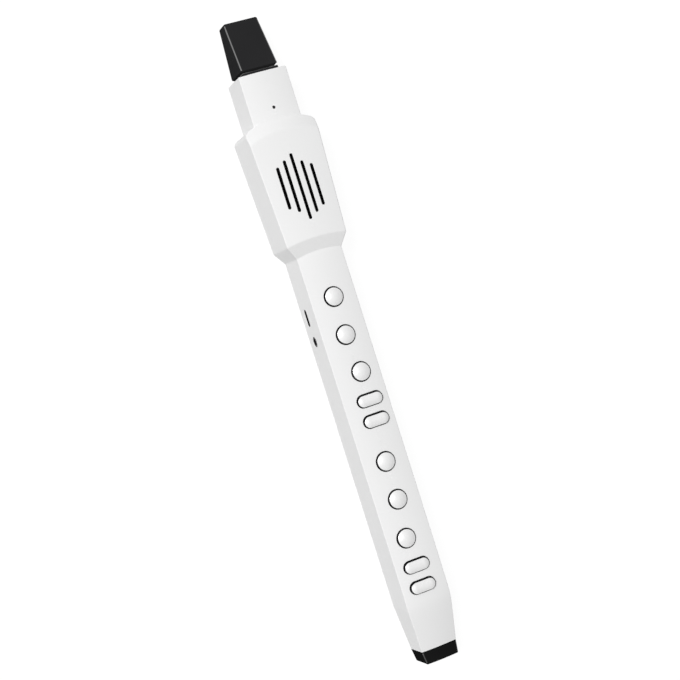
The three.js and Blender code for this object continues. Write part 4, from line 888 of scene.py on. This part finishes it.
# Status light
# A smoked pin whose domed end lies just below the face of the head, over a small lamp.
pin_low, pin_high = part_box("status_lens")
pin_radius, pin_flange, pin_foot = 0.00082, 0.0017, 0.0008

# The dome: shares of the radius, and how far each lies below the top of the pin's own box.
pin_dome = [(1, 0.00035), (0.8, 0.00018), (0.45, 0.00008), (0, 0.00004)]
pin_profile = [*stub(pin_flange, pin_low.z, pin_low.z + pin_foot),
               (pin_radius, pin_low.z + pin_foot),
               *[(pin_radius * share, pin_high.z - depth) for share, depth in pin_dome]]
pin = part("light_pin", turned(pin_profile, head_steps, centre_of("status_lens")[:2]))
smoked = moulded("smoked", (0.002, 0.002, 0.002), (0.004, 0.004, 0.004), rough=0.16, grains=1500.0,
                 depth=1e-6, patches=200.0, fixed={"Specular IOR Level": 0.15})
fitted(pin, "instrument", "status_lens", smoked)

# Grille backing
# A black foam screen behind the slots. Black fills of the same foam stand up in the slots to just
# below the face: painted shade, where the slots' white walls would lie in shade.
screen_low, screen_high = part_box("dust_screen")
screen_half, screen_long = screen_high.x, (screen_high.y - screen_low.y) / 2
screen_thickness, shade_fill_gap, shade_fill_sink, shade_fill_edge = 0.0004, 0.00004, 0.00025, 0.0001
screen_top = screen_low.z + screen_thickness
screen_and_shade_fills = part("foam_screen_and_shade_fills", turned(rod(screen_half, screen_low.z, screen_top), round_steps,
                                    (0, grille_centre), (0, screen_long - screen_half)))
# Painted shade: a black fill in each slot, which hides the slot walls as if they lay in shade.
shade_fill_half, shade_fill_foot = slot_half_width - shade_fill_gap, screen_low.z + screen_thickness / 2
shade_fill_top = housing_front + crown - shade_fill_sink
shade_fill = [*stub(shade_fill_half, shade_fill_foot, shade_fill_top - shade_fill_edge), (shade_fill_half - shade_fill_edge, shade_fill_top),
       (0, shade_fill_top)]
worked(screen_and_shade_fills, "UNION", part("slot_shade_fills", in_slots(shade_fill, screen_top)))


def dressed(finish, *nodes):
    """Gives a finish to CAD nodes that keep their shape."""
    for name in nodes:
        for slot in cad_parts[name].material_slots:
            slot.material = finish


# The foam's near-black colour is the screen's own, and also the painted shade of the fills in the
# slots.
foam_and_shade_fill, tree, shader, place = new_finish("foam_and_shade_fill", {"Specular IOR Level": 0.0})
cells = wired(tree, "ShaderNodeTexVoronoi", {"Vector": place, "Scale": 1800.0}).outputs["Distance"]
surfaced(tree, shader, blended(tree, cells, (0.0005, 0.0005, 0.0005), (0.003, 0.003, 0.003)), cells,
         depth=0.0002, rough=0.9)
fitted(screen_and_shade_fills, "instrument", "dust_screen", foam_and_shade_fill)

# Speaker
# A pressed paper cone in a dark steel basket, with a rubber gasket against the housing.
paper, tree, shader, place = new_finish("paper", {"Specular IOR Level": 0.2})
fibres = wired(tree, "ShaderNodeTexNoise", {
    "Vector": place, "Scale": 1400.0, "Detail": 4.0, "Distortion": 1.5}).outputs["Fac"]
surfaced(tree, shader, blended(tree, fibres, (0.010, 0.010, 0.010), (0.035, 0.034, 0.033)), fibres,
         depth=0.00008, rough=0.85)
dressed(paper, "speaker_cone")
dressed(blackened_steel, "speaker_basket")
dressed(rubber, "speaker_gasket")

# Keypads
# Two moulded sheets with a bump under each key, which close its contact and lift it again.
dressed(rubber, "finger_keypad", "rear_keypad")

# Circuit boards
# Glass-fibre boards with a green solder mask over fine copper traces, and gilded pads.
mask_green, trace_green, pad_gold = (0.012, 0.085, 0.04), (0.03, 0.16, 0.07), (0.75, 0.55, 0.22)
board, tree, shader, place = new_finish("board", {})
runs = wired(tree, "ShaderNodeTexVoronoi", {"Vector": place, "Scale": 420.0},
             feature="DISTANCE_TO_EDGE").outputs["Distance"]
trace = wired(tree, "ShaderNodeMapRange", {
    "Value": runs, "From Min": 0.09, "From Max": 0.06}).outputs["Result"]
dots = wired(tree, "ShaderNodeTexVoronoi", {"Vector": place, "Scale": 260.0}).outputs["Distance"]
pads = wired(tree, "ShaderNodeMapRange", {
    "Value": dots, "From Min": 0.2, "From Max": 0.18}).outputs["Result"]
greens = blended(tree, trace, mask_green, trace_green)
surfaced(tree, shader, blended(tree, pads, greens, pad_gold), trace, depth=0.00003, rough=0.35)
tree.links.new(pads, shader.inputs["Metallic"])
dressed(board, "key_board", "main_board", "head_board")

# Side switches and status lamp
# Small tactile switches that the side controls press, and a lamp under the smoked pin.
nickel = plated("nickel", (0.52, 0.52, 0.53), (0.64, 0.64, 0.65), rough=0.3,
                stretch=(900, 3600, 900))
dressed(blackened_steel, "power_switch", "volume_up_switch", "volume_down_switch")
dressed(nickel, "status_lamp")

# Breath path
# A black spigot with a silicone seal carries the mouthpiece, and a hose leads to the sensor.
dressed(satin_black, "breath_spigot")
dressed(silicone, "breath_hose", "spigot_seal")
dressed(glossy_black, "pressure_sensor")

# Battery and leads
# A pouch cell in crinkled silver foil, black insulated leads, and a pale ribbon to the head.
foil = plated("foil", (0.46, 0.47, 0.49), (0.58, 0.59, 0.61), rough=0.34,
              stretch=(160, 120, 400), depth=0.0001, metal=0.9)
dressed(foil, "battery_pack")
dressed(rubber, "speaker_lead_1", "speaker_lead_2", "battery_lead_1", "battery_lead_2")
ribbon, tree, shader, place = new_finish("ribbon", {})
wires = wired(tree, "ShaderNodeTexWave", {"Vector": place, "Scale": 160.0},
              bands_direction="X").outputs["Fac"]
surfaced(tree, shader, blended(tree, wires, (0.60, 0.58, 0.52), (0.80, 0.79, 0.75)), wires,
         depth=0.00005, rough=0.5)
dressed(ribbon, "head_ribbon")

# Studio
# A plain pale floor and one wide soft lamp at the upper left. What the camera and reflections find
# behind the object is white, and the floor still takes a faint shadow.
floor_reach, floor_lift, mirror_lift, floor_glow, room_light = 6, 0.85, 0.4, 1.12, 0.25
lamp_place, lamp_size, lamp_power = (-2.45, 1.15, 4.2), 1.75, 220
camera_place, camera_lens, sensor_width = (-0.2316, 0.02255, 0.7522), 78.58, 36
camera_right, camera_up = (0.9072, -0.3012, 0.2938), (0.2955, 0.9532, 0.0646)
camera_back = (-0.2996, 0.0282, 0.9536)


def seen(tree, direct=1.0, mirrored=1.0):
    """A share for rays from the camera, one for reflections and glass, and nought for others."""
    rays = wired(tree, "ShaderNodeLightPath").outputs
    either = maths(tree, "MAXIMUM", rays["Is Glossy Ray"], rays["Is Transmission Ray"])
    in_mirror = maths(tree, "MULTIPLY", either, mirrored)
    return maths(tree, "MULTIPLY_ADD", rays["Is Camera Ray"], direct, in_mirror)


backdrop, tree, shader, place = new_finish("backdrop", {
    "Base Color": (0.60, 0.60, 0.60, 1), "Roughness": 0.9, "Specular IOR Level": 0.0})
glow = wired(tree, "ShaderNodeEmission", {"Color": (1, 1, 1, 1), "Strength": floor_glow})
shown = wired(tree, "ShaderNodeMixShader", {
    0: seen(tree, floor_lift, mirror_lift), 1: shader.outputs[0], 2: glow.outputs[0]})
tree.links.new(shown.outputs[0], tree.nodes["Material Output"].inputs["Surface"])
floor_mesh = bmesh.new()
bmesh.ops.create_grid(floor_mesh, x_segments=1, y_segments=1, size=floor_reach)
floor = part("floor", floor_mesh)
floor.data.materials.append(backdrop)

world = bpy.data.worlds.new("room")
bpy.context.scene.world = world
world.use_nodes = True
tree = world.node_tree
dim = tree.nodes["Background"]
dim.inputs["Color"].default_value = (1, 1, 1, 1)
dim.inputs["Strength"].default_value = room_light
bright = wired(tree, "ShaderNodeBackground", {"Color": (1, 1, 1, 1), "Strength": 1.0})
sky = wired(tree, "ShaderNodeMixShader", {0: seen(tree), 1: dim.outputs[0], 2: bright.outputs[0]})
tree.links.new(sky.outputs[0], tree.nodes["World Output"].inputs["Surface"])

light = bpy.data.lights.new("key_lamp", "AREA")
light.shape, light.size, light.energy = "SQUARE", lamp_size, lamp_power
key_lamp = bpy.data.objects.new("key_lamp", light)
key_lamp.location = lamp_place
key_lamp.rotation_euler = (-Vector(lamp_place)).to_track_quat("-Z", "Y").to_euler()
bpy.context.scene.collection.objects.link(key_lamp)

camera = bpy.data.objects.new("camera", bpy.data.cameras.new("camera"))
bpy.context.scene.collection.objects.link(camera)
camera.data.lens, camera.data.sensor_width = camera_lens, sensor_width
turn = Matrix((camera_right, camera_up, camera_back)).transposed().to_4x4()
camera.matrix_world = Matrix.Translation(camera_place) @ turn
bpy.context.scene.camera = camera
bpy.context.scene.view_settings.view_transform = "Standard"
